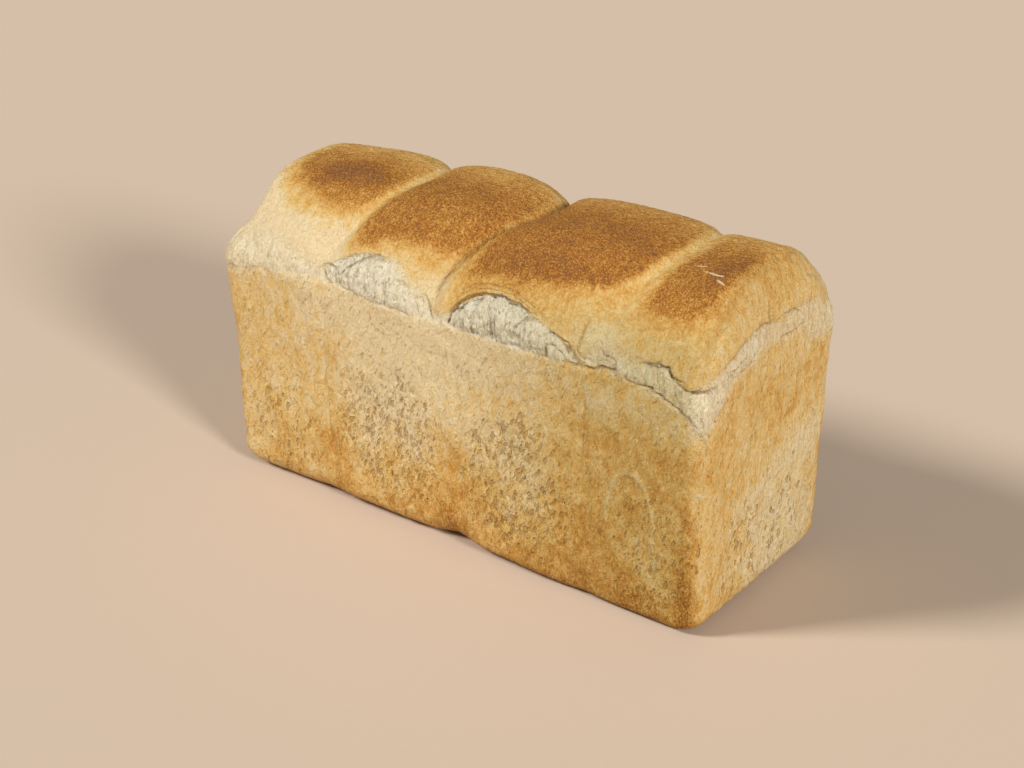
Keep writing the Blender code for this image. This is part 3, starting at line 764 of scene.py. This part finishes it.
def draw_upright_cracks(side):
    """How deep the short cracks that run up from the tear are."""
    depth = side.blank()
    for place, foot, length in UPRIGHT_CRACKS:
        beside = abs(side.round[None, :] - place * MM - 0.0004 * np.sin(side.height[:, None] / 0.0012))
        t = np.clip((side.height[:, None] - foot * MM) / (length * MM), 0, 1)
        depth = np.maximum(depth, (1 - t) * np.exp(-((beside / UPRIGHT_WIDTH) ** 2)) * (t > 0))
    return UPRIGHT_DEPTH * depth


def folded_creases(points):
    """How deep the folds between the lobes are: thin over the crown, and wandering seams on the walls."""
    x, y, z = points.T
    half_width = BASE_WIDTH / 2 + WALL_DRAFT * TIN_HEIGHT
    on_crown = smooth_step(z, *FOLD_FADE)
    in_tin = 1 - smooth_step(z, TIN_HEIGHT - 0.004, TIN_HEIGHT + 0.002)
    long_wall = smooth_step(abs(y) - half_width, -0.012, -0.009)
    wobble = 0.0009 * lattice_noise(points, 0.007, SEED + 31)
    depth = np.zeros_like(x)
    for number, (crease, seam) in enumerate(zip(crease_lines(y, half_width), SEAMS)):
        wander = SEAM_WANDER * np.sin(2 * math.pi * z / SEAM_WAVE + 2 * number) + wobble
        wander = wander + SEAM_LEANS[number] * (TIN_HEIGHT - z)
        fold = FOLD_DEPTH * on_crown * np.exp(-(((x - crease - wobble) / FOLD_WIDTH) ** 2))
        line = SEAM_DEPTH * in_tin * long_wall * np.exp(-(((x - seam - wander) / SEAM_WIDTH) ** 2))
        depth = np.maximum(depth, np.maximum(fold, line))
    return depth


# The mesh


def add_netted_block():
    """A cube of side 2 with its faces cut into a fine net, as a selected object."""
    bpy.ops.object.select_all(action="DESELECT")
    bpy.ops.mesh.primitive_cube_add(size=2)
    block = bpy.context.active_object
    bpy.context.tool_settings.mesh_select_mode = (False, True, False)
    for axis, passes in enumerate(NET_CUTS):
        for pieces in passes:
            select_edges_along(block.data, axis)
            bpy.ops.object.mode_set(mode="EDIT")
            bpy.ops.mesh.subdivide(number_cuts=pieces - 1)
            bpy.ops.object.mode_set(mode="OBJECT")
    return block


def select_edges_along(mesh, axis):
    """Selects the edges that run along one axis, and nothing else."""
    co = read_points(mesh, "co")
    ends = np.empty(len(mesh.edges) * 2, int)
    mesh.edges.foreach_get("vertices", ends)
    ends = ends.reshape(-1, 2)
    span = abs(co[ends[:, 0]] - co[ends[:, 1]])
    others = [other for other in range(3) if other != axis]
    mesh.vertices.foreach_set("select", np.zeros(len(mesh.vertices), bool))
    mesh.polygons.foreach_set("select", np.zeros(len(mesh.polygons), bool))
    mesh.edges.foreach_set("select", (span[:, others] < 1e-4).all(axis=1))


def read_points(mesh, name):
    values = np.empty(len(mesh.vertices) * 3)
    mesh.vertices.foreach_get(name, values)
    return values.reshape(-1, 3)


def carve_skin(mesh, side, drawn, shape):
    """Moves the net's points to the smooth loaf, then along its normals for each tear, fold and pit."""
    u, v, w = read_points(mesh, "co").T
    w = np.interp((w + 1) / 2, ROW_SHARES, ROW_HEIGHTS)
    points = smooth_form(u, v, w)
    mesh.vertices.foreach_set("co", points.ravel())
    mesh.update()
    normals = read_points(mesh, "normal")

    round_about = way_round(points)
    on_side = 1 - smooth_step(points[:, 2], *CROWN_FROM)
    out = side.read(drawn["out"], round_about, points[:, 2]) * on_side
    sag = side.read(drawn["sag"], round_about, points[:, 2]) * on_side
    out += 0.0007 * lattice_noise(points, 0.030, SEED + 2)
    grain = lattice_noise(points, 0.0016, SEED + 32) + 0.8 * lattice_noise(points, 0.0034, SEED + 33)
    out += shape.crown_grain * grain * smooth_step(points[:, 2], 0.118, 0.138)
    out -= folded_creases(points)
    off_base = smooth_step(points[:, 2], 0.0, OFF_BASE)
    moved = points + normals * (out * off_base)[:, None]
    moved[:, 2] -= sag
    mesh.vertices.foreach_set("co", moved.ravel())
    mesh.update()


def thin_out(loaf):
    """Leaves the faces where the relief needs them."""
    loaf.data.calc_loop_triangles()
    thinner = loaf.modifiers.new("fewer faces", "DECIMATE")
    thinner.ratio = MOST_TRIANGLES / len(loaf.data.loop_triangles)
    bpy.ops.object.select_all(action="DESELECT")
    loaf.select_set(True)
    bpy.context.view_layer.objects.active = loaf
    bpy.ops.object.modifier_apply(modifier=thinner.name)


# How brown each place of the crust is


def cap_depth(points):
    """How far inside its lobe's dark cap a point lies, in millimetres, and how brown that cap is."""
    x, y = points[:, 0] / MM, points[:, 1] / MM
    creases = [line / MM for line in crease_lines(points[:, 1], HALF_WIDTH)]
    borders = [np.full_like(x, -HALF_LENGTH / MM), *creases, np.full_like(x, HALF_LENGTH / MM)]
    depth, brown = np.full_like(x, -99.0), np.zeros_like(x)
    for number, cap in enumerate(CAPS):
        left, right = borders[number] + cap.left, borders[number + 1] - cap.right
        front = mix(cap.front_left, cap.front_right, np.clip((x - left) / (right - left), 0, 1))
        off_x = abs(x - (left + right) / 2) - (right - left) / 2 + CAP_CORNER
        off_y = abs(y - (front + cap.back) / 2) - (cap.back - front) / 2 + CAP_CORNER
        outer = np.hypot(np.clip(off_x, 0, None), np.clip(off_y, 0, None))
        away = outer + np.minimum(np.maximum(off_x, off_y), 0) - CAP_CORNER
        brown = np.where(-away > depth, cap.brown, brown)
        depth = np.maximum(depth, -away)
    return depth, brown


def crown_bake(points):
    """How brown the crown is: 0 is pale dough, 0.45 is golden and 1 is scorched."""
    x, y, z = points.T / MM
    wave = 2.0 * lattice_noise(points, 0.016, SEED + 40) + 1.3 * lattice_noise(points, 0.005, SEED + 41)
    depth, brown = cap_depth(points)
    depth = depth + wave
    shoulder = mix(*SHOULDER_BAKE, smooth_step(x, -85, 10))
    reach = mix(-16, -10, smooth_step(x, -78, -60))
    bake = mix(shoulder, CAP_EDGE_BAKE, np.clip((depth - reach) / (-3 - reach), 0, 1) ** 1.5)
    bake = mix(bake, brown, smooth_step(depth, -2.5, 3.0))
    for middle, half, more in SCORCHES:
        r = ring(x, y, middle, half) + 0.06 * wave
        bake += more * (1 - smooth_step(r, 0.35, 1.15)) * smooth_step(depth, -4, 2)
    for crease in crease_lines(points[:, 1], HALF_WIDTH):
        line = np.exp(-(((x - crease / MM + 0.8) / 2.5) ** 2))
        bake -= line * mix(*CREASE_PALER, smooth_step(y, -10, 25)) * smooth_step(bake, 0.45, 0.7)
    bake -= BACK_PALER * smooth_step(y, -10, 22) * smooth_step(bake, 0.45, 0.8)
    for middle, half, less in PALE_SHOULDERS:
        bake -= less * np.exp(-(ring(x, z, middle, half) ** 2)) * (y < 0)
    return bake + 0.05 * lattice_noise(points, 0.009, SEED + 42)


def wall_bake(points, round_about):
    """How brown the walls are: paler in the middle of the long walls, browner at the foot and the corners."""
    x, y, z = points.T / MM
    s = round_about / MM
    long_x = np.where(y < 0, x, -x * 0.9 + 6)
    is_end = smooth_step(abs(x), 117, 125)
    foot = FOOT_BROWNER * (1 - smooth_step(z, 6, 45)) * mix(0.35, 1, smooth_step(long_x, -90, -40))
    bake = WALL_BAKE + 0.045 * smooth_step(long_x, -20, 90) - 0.05 * smooth_step(-long_x, 50, 110) + foot
    bake -= WALL_MIDDLE_PALER * np.exp(-(((long_x + 15) / 66) ** 2)) * smooth_step(z, 35, 85)
    bake -= mix(0.06, 0.12, smooth_step(long_x, -10, 40)) * smooth_step(z, 80, 100)
    for middle, half, less in PALE_FIELDS:
        bake -= less * np.exp(-(ring(long_x, z, middle, half) ** 3))
    for seam, strength in WALL_SEAMS:
        bake += strength * np.exp(-(((long_x - seam) / 7) ** 2)) * (1 - smooth_step(z, 40, 66))
    middle = np.exp(-(((y - 13) / 38) ** 2)) * smooth_step(-z, -84, -60)
    end = WALL_BAKE - END_MIDDLE_PALER * middle + 0.05 * (1 - smooth_step(z, 6, 20))
    bake = mix(bake, end, is_end)
    for corner in CORNERS:
        close = np.exp(-(((s - corner) / 3.2) ** 2))
        bake += CORNER_BROWNER * close * (1 - smooth_step(z, 45, 80))
        bake -= CORNER_TOP_PALER * close * smooth_step(z, 80, 100)
    bake += 0.06 * (1 - smooth_step(z, 2, 8))
    bake += 0.07 * lattice_noise(points, 0.016, SEED + 43) + 0.05 * lattice_noise(points, 0.006, SEED + 44)
    return bake + 0.04 * lattice_noise(points, 0.0022, SEED + 45)


def wall_painted_shade(points):
    """Painted shade: how much the skin is darkened, from 0 to 1, towards the right of the front and the left
    of the back, with a little random variation.
    """
    x, y, z = points.T / MM
    long_x = np.where(y < 0, x, -x)
    painted_shade = smooth_step(long_x, -20, 105) * (1 - smooth_step(abs(x), 119, 126))
    return painted_shade * (1 - smooth_step(z, 126, 142)) + 0.10 * lattice_noise(points, 0.012, SEED + 46)


def colour_skin(mesh, side, drawn):
    """Stores what the material reads at each point: how baked, torn and pitted the skin is, how much painted
    shade darkens it, how far it is above the band's two edges, in millimetres, and how far away and deep the
    nearest crack is, for its painted shadow."""
    points = read_points(mesh, "co")
    round_about, z = way_round(points), points[:, 2]
    on_crown = smooth_step(z, *CROWN_FROM)
    names = ("above_lip", "above_rim", "gap", "cleft_shadow", "tearing", "sharp")
    masks = {name: side.read(drawn[name], round_about, z) for name in names}
    for name in ("above_lip", "above_rim"):
        masks[name] = np.clip(mix(masks[name] / MM, 20, on_crown), -12, 20)
    for name in ("cleft_shadow", "tearing"):
        masks[name] *= 1 - on_crown
    masks["pitted"] = crowding(round_about, z)
    masks["painted_shade"] = wall_painted_shade(points)
    crown = smooth_step(masks["above_lip"], -3, 3)
    wall = wall_bake(points, round_about) - SWIRL_PALER * side.read(drawn["swirl"], round_about, z)
    masks["bake"] = np.clip(mix(wall, crown_bake(points), crown), 0, 1)
    for name, values in masks.items():
        attribute = mesh.attributes.new(name, "FLOAT", "POINT")
        attribute.data.foreach_set("value", values.astype(np.float32))


# Materials


class NodeSheet:
    """A node tree, with short ways to add nodes, fed with numbers, vectors, colours or sockets."""

    def __init__(self, tree):
        self.nodes, self.links = tree.nodes, tree.links

    def feed(self, socket, value):
        if isinstance(value, bpy.types.NodeSocket):
            self.links.new(value, socket)
        elif socket.type == "RGBA":
            socket.default_value = (*value[:3], 1)
        else:
            socket.default_value = value

    def add(self, kind, inputs, **settings):
        """Adds a node with its settings, and feeds its inputs by name or number."""
        node = self.nodes.new("ShaderNode" + kind)
        for name, value in settings.items():
            setattr(node, name, value)
        for name, value in inputs.items():
            self.feed(node.inputs[name], value)
        return node

    def math(self, operation, *values, clamp=False):
        return self.add("Math", dict(enumerate(values)), operation=operation, use_clamp=clamp).outputs[0]

    def times(self, first, second):
        return self.math("MULTIPLY", first, second)

    def vector(self, operation, *values):
        return self.add("VectorMath", dict(enumerate(values)), operation=operation).outputs[0]

    def range(self, value, low, high, to_low=0.0, to_high=1.0):
        inputs = {"Value": value, "From Min": low, "From Max": high, "To Min": to_low, "To Max": to_high}
        return self.add("MapRange", inputs, interpolation_type="SMOOTHSTEP").outputs["Result"]

    def mix(self, factor, first, second, blend="MIX"):
        node = self.add("Mix", {0: factor}, data_type="RGBA", blend_type=blend)
        colours = [socket for socket in node.inputs if socket.type == "RGBA"]
        self.feed(colours[0], first)
        self.feed(colours[1], second)
        return next(socket for socket in node.outputs if socket.type == "RGBA")

    def turn(self, vector, axis, angle, centre=(0, 0, 0)):
        inputs = {"Vector": vector, "Angle": angle, "Center": centre}
        return self.add("VectorRotate", inputs, rotation_type=axis).outputs[0]

    def noise(self, vector, scale, detail=2.0, roughness=0.5, distortion=0.0):
        inputs = {"Vector": vector, "Scale": scale, "Detail": detail}
        inputs.update({"Roughness": roughness, "Distortion": distortion})
        return self.add("TexNoise", inputs).outputs["Fac"]

    def cells(self, vector, scale):
        """Random cells: how far each place is from its cell's middle, and two random values for each cell."""
        node = self.add("TexVoronoi", {"Vector": vector, "Scale": scale})
        split = self.add("SeparateColor", {0: node.outputs["Color"]})
        return node.outputs["Distance"], split.outputs[0], split.outputs[1]

    def mask(self, name):
        return self.add("Attribute", {}, attribute_name=name).outputs["Fac"]

    def place(self, group, **inputs):
        """Places a node group with its own values, and gives its outputs."""
        return self.add("Group", inputs, node_tree=group).outputs


def new_group(name, inputs, outputs):
    """A shader node group, its sheet and its sockets: numbers, and a vector where None is given."""
    group = bpy.data.node_groups.new(name, "ShaderNodeTree")
    for label, default in inputs.items():
        kind = "NodeSocketVector" if default is None else "NodeSocketFloat"
        socket = group.interface.new_socket(label, in_out="INPUT", socket_type=kind)
        if default is not None:
            socket.default_value = default
    for label in outputs:
        group.interface.new_socket(label, in_out="OUTPUT", socket_type="NodeSocketFloat")
    start, end = group.nodes.new("NodeGroupInput"), group.nodes.new("NodeGroupOutput")
    return group, NodeSheet(group), start.outputs, end.inputs


def build_fleck_group():
    """Flakes of bran: a mask of small flakes, and how much each one differs from the next."""
    inputs = {"Vector": None, "Scale": 800.0, "Size": 0.3}
    group, sheet, given, made = new_group("bran flecks", inputs, ("Mask", "Shade"))
    away, shade, size = sheet.cells(given["Vector"], given["Scale"])
    near = sheet.math("SUBTRACT", sheet.times(given["Size"], size), away)
    sheet.feed(made["Mask"], sheet.range(near, -0.05, 0.10))
    sheet.feed(made["Shade"], shade)
    return group


def build_mottle_group():
    """The oven's uneven colouring about 0: upright patches, a grain and a finer one; and leaning wrinkles,
    for relief and a painted highlight on their ridges.
    """
    outputs = ("Patches", "Grain", "Fine", "Wrinkle")
    group, sheet, given, made = new_group("oven mottle", {"Vector": None}, outputs)
    upright = sheet.vector("MULTIPLY", given["Vector"], (1.0, 1.0, 0.55))
    leaning = sheet.vector("MULTIPLY", sheet.turn(given["Vector"], "Y_AXIS", WRINKLE_LEAN), (1.0, 1.0, 0.45))
    noises = {
        "Patches": sheet.noise(upright, 230.0, 4.0, 0.62),
        "Grain": sheet.noise(upright, 1000.0, 2.0, 0.65),
        "Fine": sheet.noise(given["Vector"], 2100.0, 1.0, 0.5),
        "Wrinkle": sheet.noise(leaning, 420.0, 3.0, 0.55, 0.6),
    }
    for name, noise in noises.items():
        sheet.feed(made[name], sheet.math("SUBTRACT", noise, 0.5))
    return group


def build_pit_group():
    """Upright steam pits that lean a little: 1 at a pit's bottom and 0 on the skin."""
    inputs = {"Vector": None, "Scale": 330.0, "Size": 0.3, "Share": 1.0}
    group, sheet, given, made = new_group("steam pits", inputs, ("Pit",))
    warp = sheet.add("TexNoise", {"Vector": given["Vector"], "Scale": 260.0}).outputs["Color"]
    moved = sheet.vector("MULTIPLY_ADD", warp, (PIT_WARP, PIT_WARP, PIT_WARP), given["Vector"])
    leaning = sheet.vector("MULTIPLY", sheet.turn(moved, "Y_AXIS", PIT_LEAN), (1.25, 1.0, 0.40))
    away, size, chance = sheet.cells(leaning, given["Scale"])
    radius = sheet.times(given["Size"], sheet.range(size, 0, 1, 0.5))
    inside = sheet.range(sheet.math("SUBTRACT", radius, away), 0.0, 0.16)
    chosen = sheet.math("LESS_THAN", chance, given["Share"])
    sheet.feed(made["Pit"], sheet.times(inside, chosen))
    return group


def build_fibre_group():
    """Torn dough: upright threads about 0, and the dark gaps between them."""
    group, sheet, given, made = new_group("torn fibres", {"Vector": None}, ("Thread", "Hole"))
    upright = sheet.vector("MULTIPLY", given["Vector"], (1.5, 1.5, 0.45))
    thread = sheet.noise(upright, 620.0, 3.0, 0.6, 0.7)
    sheet.feed(made["Thread"], sheet.math("SUBTRACT", thread, 0.5))
    holes = sheet.noise(sheet.vector("MULTIPLY", upright, (0.8, 0.8, 1.2)), 480.0, 2.0, 0.6, 0.4)
    sheet.feed(made["Hole"], sheet.range(holes, 0.61, 0.72))
    return group


def build_flake_group():
    """One flake lying on the crown: its middle, turn and half sizes give a mask with ragged edges."""
    inputs = {"Vector": None, "Middle": None, "Turn": 0.0, "Longer": None, "Ragged": 0.0}
    group, sheet, given, made = new_group("lifted flake", inputs, ("Mask",))
    turned = sheet.turn(given["Vector"], "Z_AXIS", given["Turn"], given["Middle"])
    shrunk = sheet.vector("MULTIPLY", sheet.vector("SUBTRACT", turned, given["Middle"]), given["Longer"])
    away = sheet.add("VectorMath", {0: shrunk}, operation="LENGTH").outputs["Value"]
    sheet.feed(made["Mask"], sheet.range(sheet.math("ADD", away, given["Ragged"]), 0.8, 1.1, 1.0, 0.0))
    return group


def new_material(name):
    """A material, its sheet, its shader's inputs and the place on the piece that it reads."""
    material = bpy.data.materials.new(name)
    material.use_nodes = True
    sheet = NodeSheet(material.node_tree)
    shader = next(node for node in sheet.nodes if node.type == "BSDF_PRINCIPLED")
    return material, sheet, shader.inputs, sheet.add("TexCoord", {}).outputs["Object"]


def build_crust_material(crust):
    material, sheet, shader, place = new_material("baked wholemeal crust")
    mottle = sheet.place(build_mottle_group(), Vector=place)
    ragged = sheet.math("ADD", mottle["Grain"], sheet.times(mottle["Fine"], 0.7))
    torn, wall, crown = add_band_masks(sheet, ragged)
    cleft_shadow = add_cleft_shadows(sheet, ragged)
    pits, pit_height = add_pits(sheet, place, wall)
    fibres = sheet.place(build_fibre_group(), Vector=place)
    flecks = sheet.place(build_fleck_group(), Vector=place, Scale=2000.0, Size=0.78)
    shine = sheet.times(flecks["Mask"], sheet.range(flecks["Shade"], 0.35, 0.75))
    bake = sheet.mask("bake")
    brownness = sheet.range(bake, 0.45, 0.8)

    colour = add_crust_colour(sheet, crust, bake, brownness, mottle, ragged)
    dark_crown = sheet.times(brownness, crown)
    bran = sheet.times(shine, sheet.range(dark_crown, 0, 1, 0.15, 0.72))
    colour = sheet.mix(bran, colour, crust.bran)
    colour = sheet.mix(add_flakes(sheet, place, ragged), colour, crust.pale)
    colour = sheet.mix(torn, colour, add_dough_colour(sheet, crust, fibres))
    # Pits: partly their browner crust, partly painted shade
    colour = sheet.mix(sheet.times(pits, PIT_SHADE), colour, crust.hollow_brown_and_shade)
    # Cracks: painted shadow
    colour = sheet.mix(sheet.times(cleft_shadow, CLEFT_SHADE), colour, crust.cleft_shadow)
    # Painted shade, darker towards the right of the front and the left of the back
    shaded_colour = sheet.mix(1.0, colour, crust.painted_shade_colour, "MULTIPLY")
    sheet.feed(shader["Base Color"], sheet.mix(sheet.mask("painted_shade"), colour, shaded_colour))

    rough = sheet.math("MULTIPLY_ADD", mottle["Grain"], 0.3, crust.roughness)
    sheet.feed(shader["Roughness"], sheet.math("MULTIPLY_ADD", brownness, -0.10, rough))
    shader["Specular IOR Level"].default_value = CRUST_SPECULAR

    threads = sheet.math("MULTIPLY_ADD", fibres["Hole"], -0.5, fibres["Thread"])
    height = sheet.times(ragged, sheet.range(brownness, 0, 1, 0.45, 0.85))
    for relief, strength in (
        (shine, 0.20),
        (mottle["Wrinkle"], 1.7),
        (pit_height, -1.0),
        (cleft_shadow, -0.6),
        (sheet.times(threads, torn), 1.1),
        (crown, 0.35),
    ):
        height = sheet.math("MULTIPLY_ADD", relief, strength, height)
    bump = sheet.add("Bump", {"Strength": 1.0, "Distance": MM, "Height": height})
    sheet.feed(shader["Normal"], bump.outputs["Normal"])
    return material


def add_crust_colour(sheet, crust, bake, brownness, mottle, ragged):
    """The colour of the crust from how baked it is, with the oven's unevenness and a painted highlight on the
    wrinkles' ridges.
    """
    patches = sheet.times(mottle["Patches"], sheet.range(brownness, 0, 1, 0.50, 0.20))
    grain = sheet.times(ragged, sheet.range(brownness, 0, 1, 0.42, 0.90))
    # Painted highlight: the ridges of the leaning wrinkles are made paler
    grain = sheet.math("MULTIPLY_ADD", mottle["Wrinkle"], -0.35, grain)
    uneven = sheet.math("ADD", bake, sheet.math("ADD", patches, grain), clamp=True)
    ramp = sheet.add("ValToRGB", {"Fac": uneven})
    stops = (
        (0.0, crust.pale), (0.22, crust.straw), (0.45, crust.golden),
        (0.62, crust.amber), (0.84, crust.brown), (1.0, crust.scorched),
    )
    while len(ramp.color_ramp.elements) < len(stops):
        ramp.color_ramp.elements.new(0.5)
    for element, (position, colour) in zip(ramp.color_ramp.elements, stops):
        element.position = position
        element.color = (*colour, 1)
    return ramp.outputs["Color"]


def add_dough_colour(sheet, crust, fibres):
    """The colour of the torn dough: pale, with darker threads, and gaps in the hollow colour, partly brown
    and partly painted shade.
    """
    dough = sheet.mix(sheet.range(fibres["Thread"], -0.20, 0.06), crust.fibre, crust.torn)
    return sheet.mix(sheet.times(fibres["Hole"], 0.45), dough, crust.hollow_brown_and_shade)


def add_band_masks(sheet, ragged):
    """Where the dough is torn, where it is the tin's wall and where it is the crown, with ragged borders."""
    above_lip = sheet.math("MULTIPLY_ADD", ragged, BAND_RAGGED, sheet.mask("above_lip"))
    above_rim = sheet.math("MULTIPLY_ADD", ragged, BAND_RAGGED, sheet.mask("above_rim"))
    tearing = sheet.mask("tearing")
    soft_lip = sheet.range(sheet.mask("sharp"), 0.0, 1.0, 5.0, 0.6)
    soft_rim = sheet.range(tearing, 0.5, 0.95, 3.2, 1.5)
    crown = sheet.range(sheet.math("DIVIDE", above_lip, soft_lip), -1.0, 1.0)
    wall = sheet.range(sheet.math("DIVIDE", above_rim, soft_rim), -1.0, 1.0, 1.0, 0.0)
    neither = sheet.math("SUBTRACT", sheet.math("SUBTRACT", 1.0, crown), wall, clamp=True)
    return sheet.times(neither, tearing), wall, crown


def add_cleft_shadows(sheet, ragged):
    """The painted shadow in the cracks: sharp under the lip above them, and fading below."""
    gap = sheet.math("MULTIPLY_ADD", ragged, 1.6, sheet.mask("gap"))
    under = sheet.times(sheet.range(gap, 0.15, 0.65, 1.0, 0.0), sheet.mask("cleft_shadow"))
    under = sheet.times(under, sheet.range(ragged, -0.16, 0.02, 0.45, 1.0))
    return sheet.times(under, sheet.range(gap, -1.9, -0.3))


def add_pits(sheet, place, wall):
    """How far inside a steam pit each place is, and how deep the pits are in millimetres."""
    group = build_pit_group()
    share = sheet.times(sheet.mask("pitted"), wall)
    few = sheet.math("MULTIPLY_ADD", share, 0.75, sheet.times(wall, 0.14))
    large = sheet.place(group, Vector=place, Scale=400.0, Size=0.54, Share=share)["Pit"]
    small = sheet.place(group, Vector=place, Scale=820.0, Size=0.52, Share=few)["Pit"]
    pits = sheet.math("MAXIMUM", large, sheet.times(small, 0.75))
    return pits, sheet.math("MULTIPLY_ADD", small, 0.35, sheet.times(large, 0.75))


def add_flakes(sheet, place, ragged):
    """The pale flakes on the fourth lobe."""
    group = build_flake_group()
    flat = sheet.vector("MULTIPLY", place, (1.0, 1.0, 0.0))
    flakes = 0.0
    for middle, (half_length, half_width), turn in FLAKES:
        longer = (1 / half_length, 1 / half_width, 0)
        flake = sheet.place(group, Vector=flat, Ragged=ragged, Turn=turn, Middle=(*middle, 0), Longer=longer)
        flakes = sheet.math("MAXIMUM", flake["Mask"], flakes)
    return flakes


def build_floor_material(studio):
    material, sheet, shader, place = new_material("plain studio floor")
    lighter = tuple(min(value * 1.03, 1) for value in studio.floor)
    sheet.feed(shader["Base Color"], sheet.mix(sheet.noise(place, 3.0, 2.0), studio.floor, lighter))
    shader["Roughness"].default_value = 0.9
    return material


# Operators


class TINLOAF_OT_add_loaf(bpy.types.Operator):
    """Bakes the loaf: its form, torn band, pits and crust"""

    bl_idname = "tin_loaf.add_loaf"
    bl_label = "Bake the Loaf"

    def execute(self, context):
        shape, crust = context.scene.tin_loaf_shape, context.scene.tin_loaf_crust
        loaf = add_netted_block()
        loaf.name = loaf.data.name = "wholemeal_loaf"
        side, drawn = draw_side(shape)
        carve_skin(loaf.data, side, drawn, shape)
        thin_out(loaf)
        colour_skin(loaf.data, side, drawn)
        bpy.ops.object.shade_smooth()
        loaf.data.materials.clear()
        loaf.data.materials.append(build_crust_material(crust))
        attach(loaf, "root")
        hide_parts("loaf")
        return {"FINISHED"}


class TINLOAF_OT_add_studio(bpy.types.Operator):
    """Sets the plain floor, the soft lights and the camera"""

    bl_idname = "tin_loaf.add_studio"
    bl_label = "Set the Studio"

    def execute(self, context):
        studio = context.scene.tin_loaf_studio
        add_floor(studio)
        add_light("key light", studio.key, studio.softness, KEY_TOWARDS)
        add_light("fill light", studio.fill, studio.softness, FILL_TOWARDS)
        light_room(context.scene, studio)
        add_camera(context.scene, studio)
        return {"FINISHED"}


def add_floor(studio):
    bpy.ops.object.select_all(action="DESELECT")
    bpy.ops.mesh.primitive_plane_add(size=FLOOR_SIZE)
    floor = bpy.context.active_object
    floor.name = "studio_floor"
    floor.data.materials.append(build_floor_material(studio))


def add_light(name, strength, softness, towards):
    """A distant soft light, so that the floor is evenly lit."""
    bpy.ops.object.select_all(action="DESELECT")
    bpy.ops.object.light_add(type="SUN", location=towards)
    light = bpy.context.active_object
    light.name = name
    light.data.energy = strength
    light.data.angle = softness
    light.rotation_euler = towards.to_track_quat("Z", "Y").to_euler()


def light_room(scene, studio):
    world = bpy.data.worlds.new("soft room")
    world.use_nodes = True
    background = next(node for node in world.node_tree.nodes if node.type == "BACKGROUND")
    background.inputs["Color"].default_value = ROOM_COLOUR
    background.inputs["Strength"].default_value = studio.room
    scene.world = world
    scene.view_settings.view_transform = "Standard"


def add_camera(scene, studio):
    level = math.cos(studio.elevation) * studio.distance
    back = Vector((math.sin(studio.azimuth) * level, -math.cos(studio.azimuth) * level, 0))
    place = CAMERA_AIM + back + Vector((0, 0, math.sin(studio.elevation) * studio.distance))
    bpy.ops.object.select_all(action="DESELECT")
    bpy.ops.object.camera_add(location=place)
    camera = bpy.context.active_object
    camera.rotation_euler = (CAMERA_AIM - place).to_track_quat("-Z", "Y").to_euler()
    camera.data.lens = studio.lens
    camera.data.sensor_width = SENSOR_WIDTH
    scene.camera = camera


class TINLOAF_PT_panel(bpy.types.Panel):
    bl_idname = "TINLOAF_PT_panel"
    bl_label = "Wholemeal Tin Loaf"
    bl_space_type = "VIEW_3D"
    bl_region_type = "UI"
    bl_category = "Tin Loaf"

    def draw(self, context):
        for group, action in (
            (context.scene.tin_loaf_shape, None),
            (context.scene.tin_loaf_crust, "tin_loaf.add_loaf"),
            (context.scene.tin_loaf_studio, "tin_loaf.add_studio"),
        ):
            for name in group.__annotations__:
                self.layout.prop(group, name)
            if action:
                self.layout.operator(action)


SETTINGS = (
    ("tin_loaf_shape", TinLoafShape),
    ("tin_loaf_crust", TinLoafCrust),
    ("tin_loaf_studio", TinLoafStudio),
)
CLASSES = (
    TinLoafShape, TinLoafCrust, TinLoafStudio,
    TINLOAF_OT_add_loaf, TINLOAF_OT_add_studio, TINLOAF_PT_panel,
)


def register():
    for one in CLASSES:
        bpy.utils.register_class(one)
    for name, kind in SETTINGS:
        setattr(bpy.types.Scene, name, bpy.props.PointerProperty(type=kind))


def unregister():
    for name, _ in SETTINGS:
        delattr(bpy.types.Scene, name)
    for one in reversed(CLASSES):
        bpy.utils.unregister_class(one)


def main():
    register()
    bpy.ops.tin_loaf.add_loaf()
    bpy.ops.tin_loaf.add_studio()


if __name__ == "__main__":
    main()
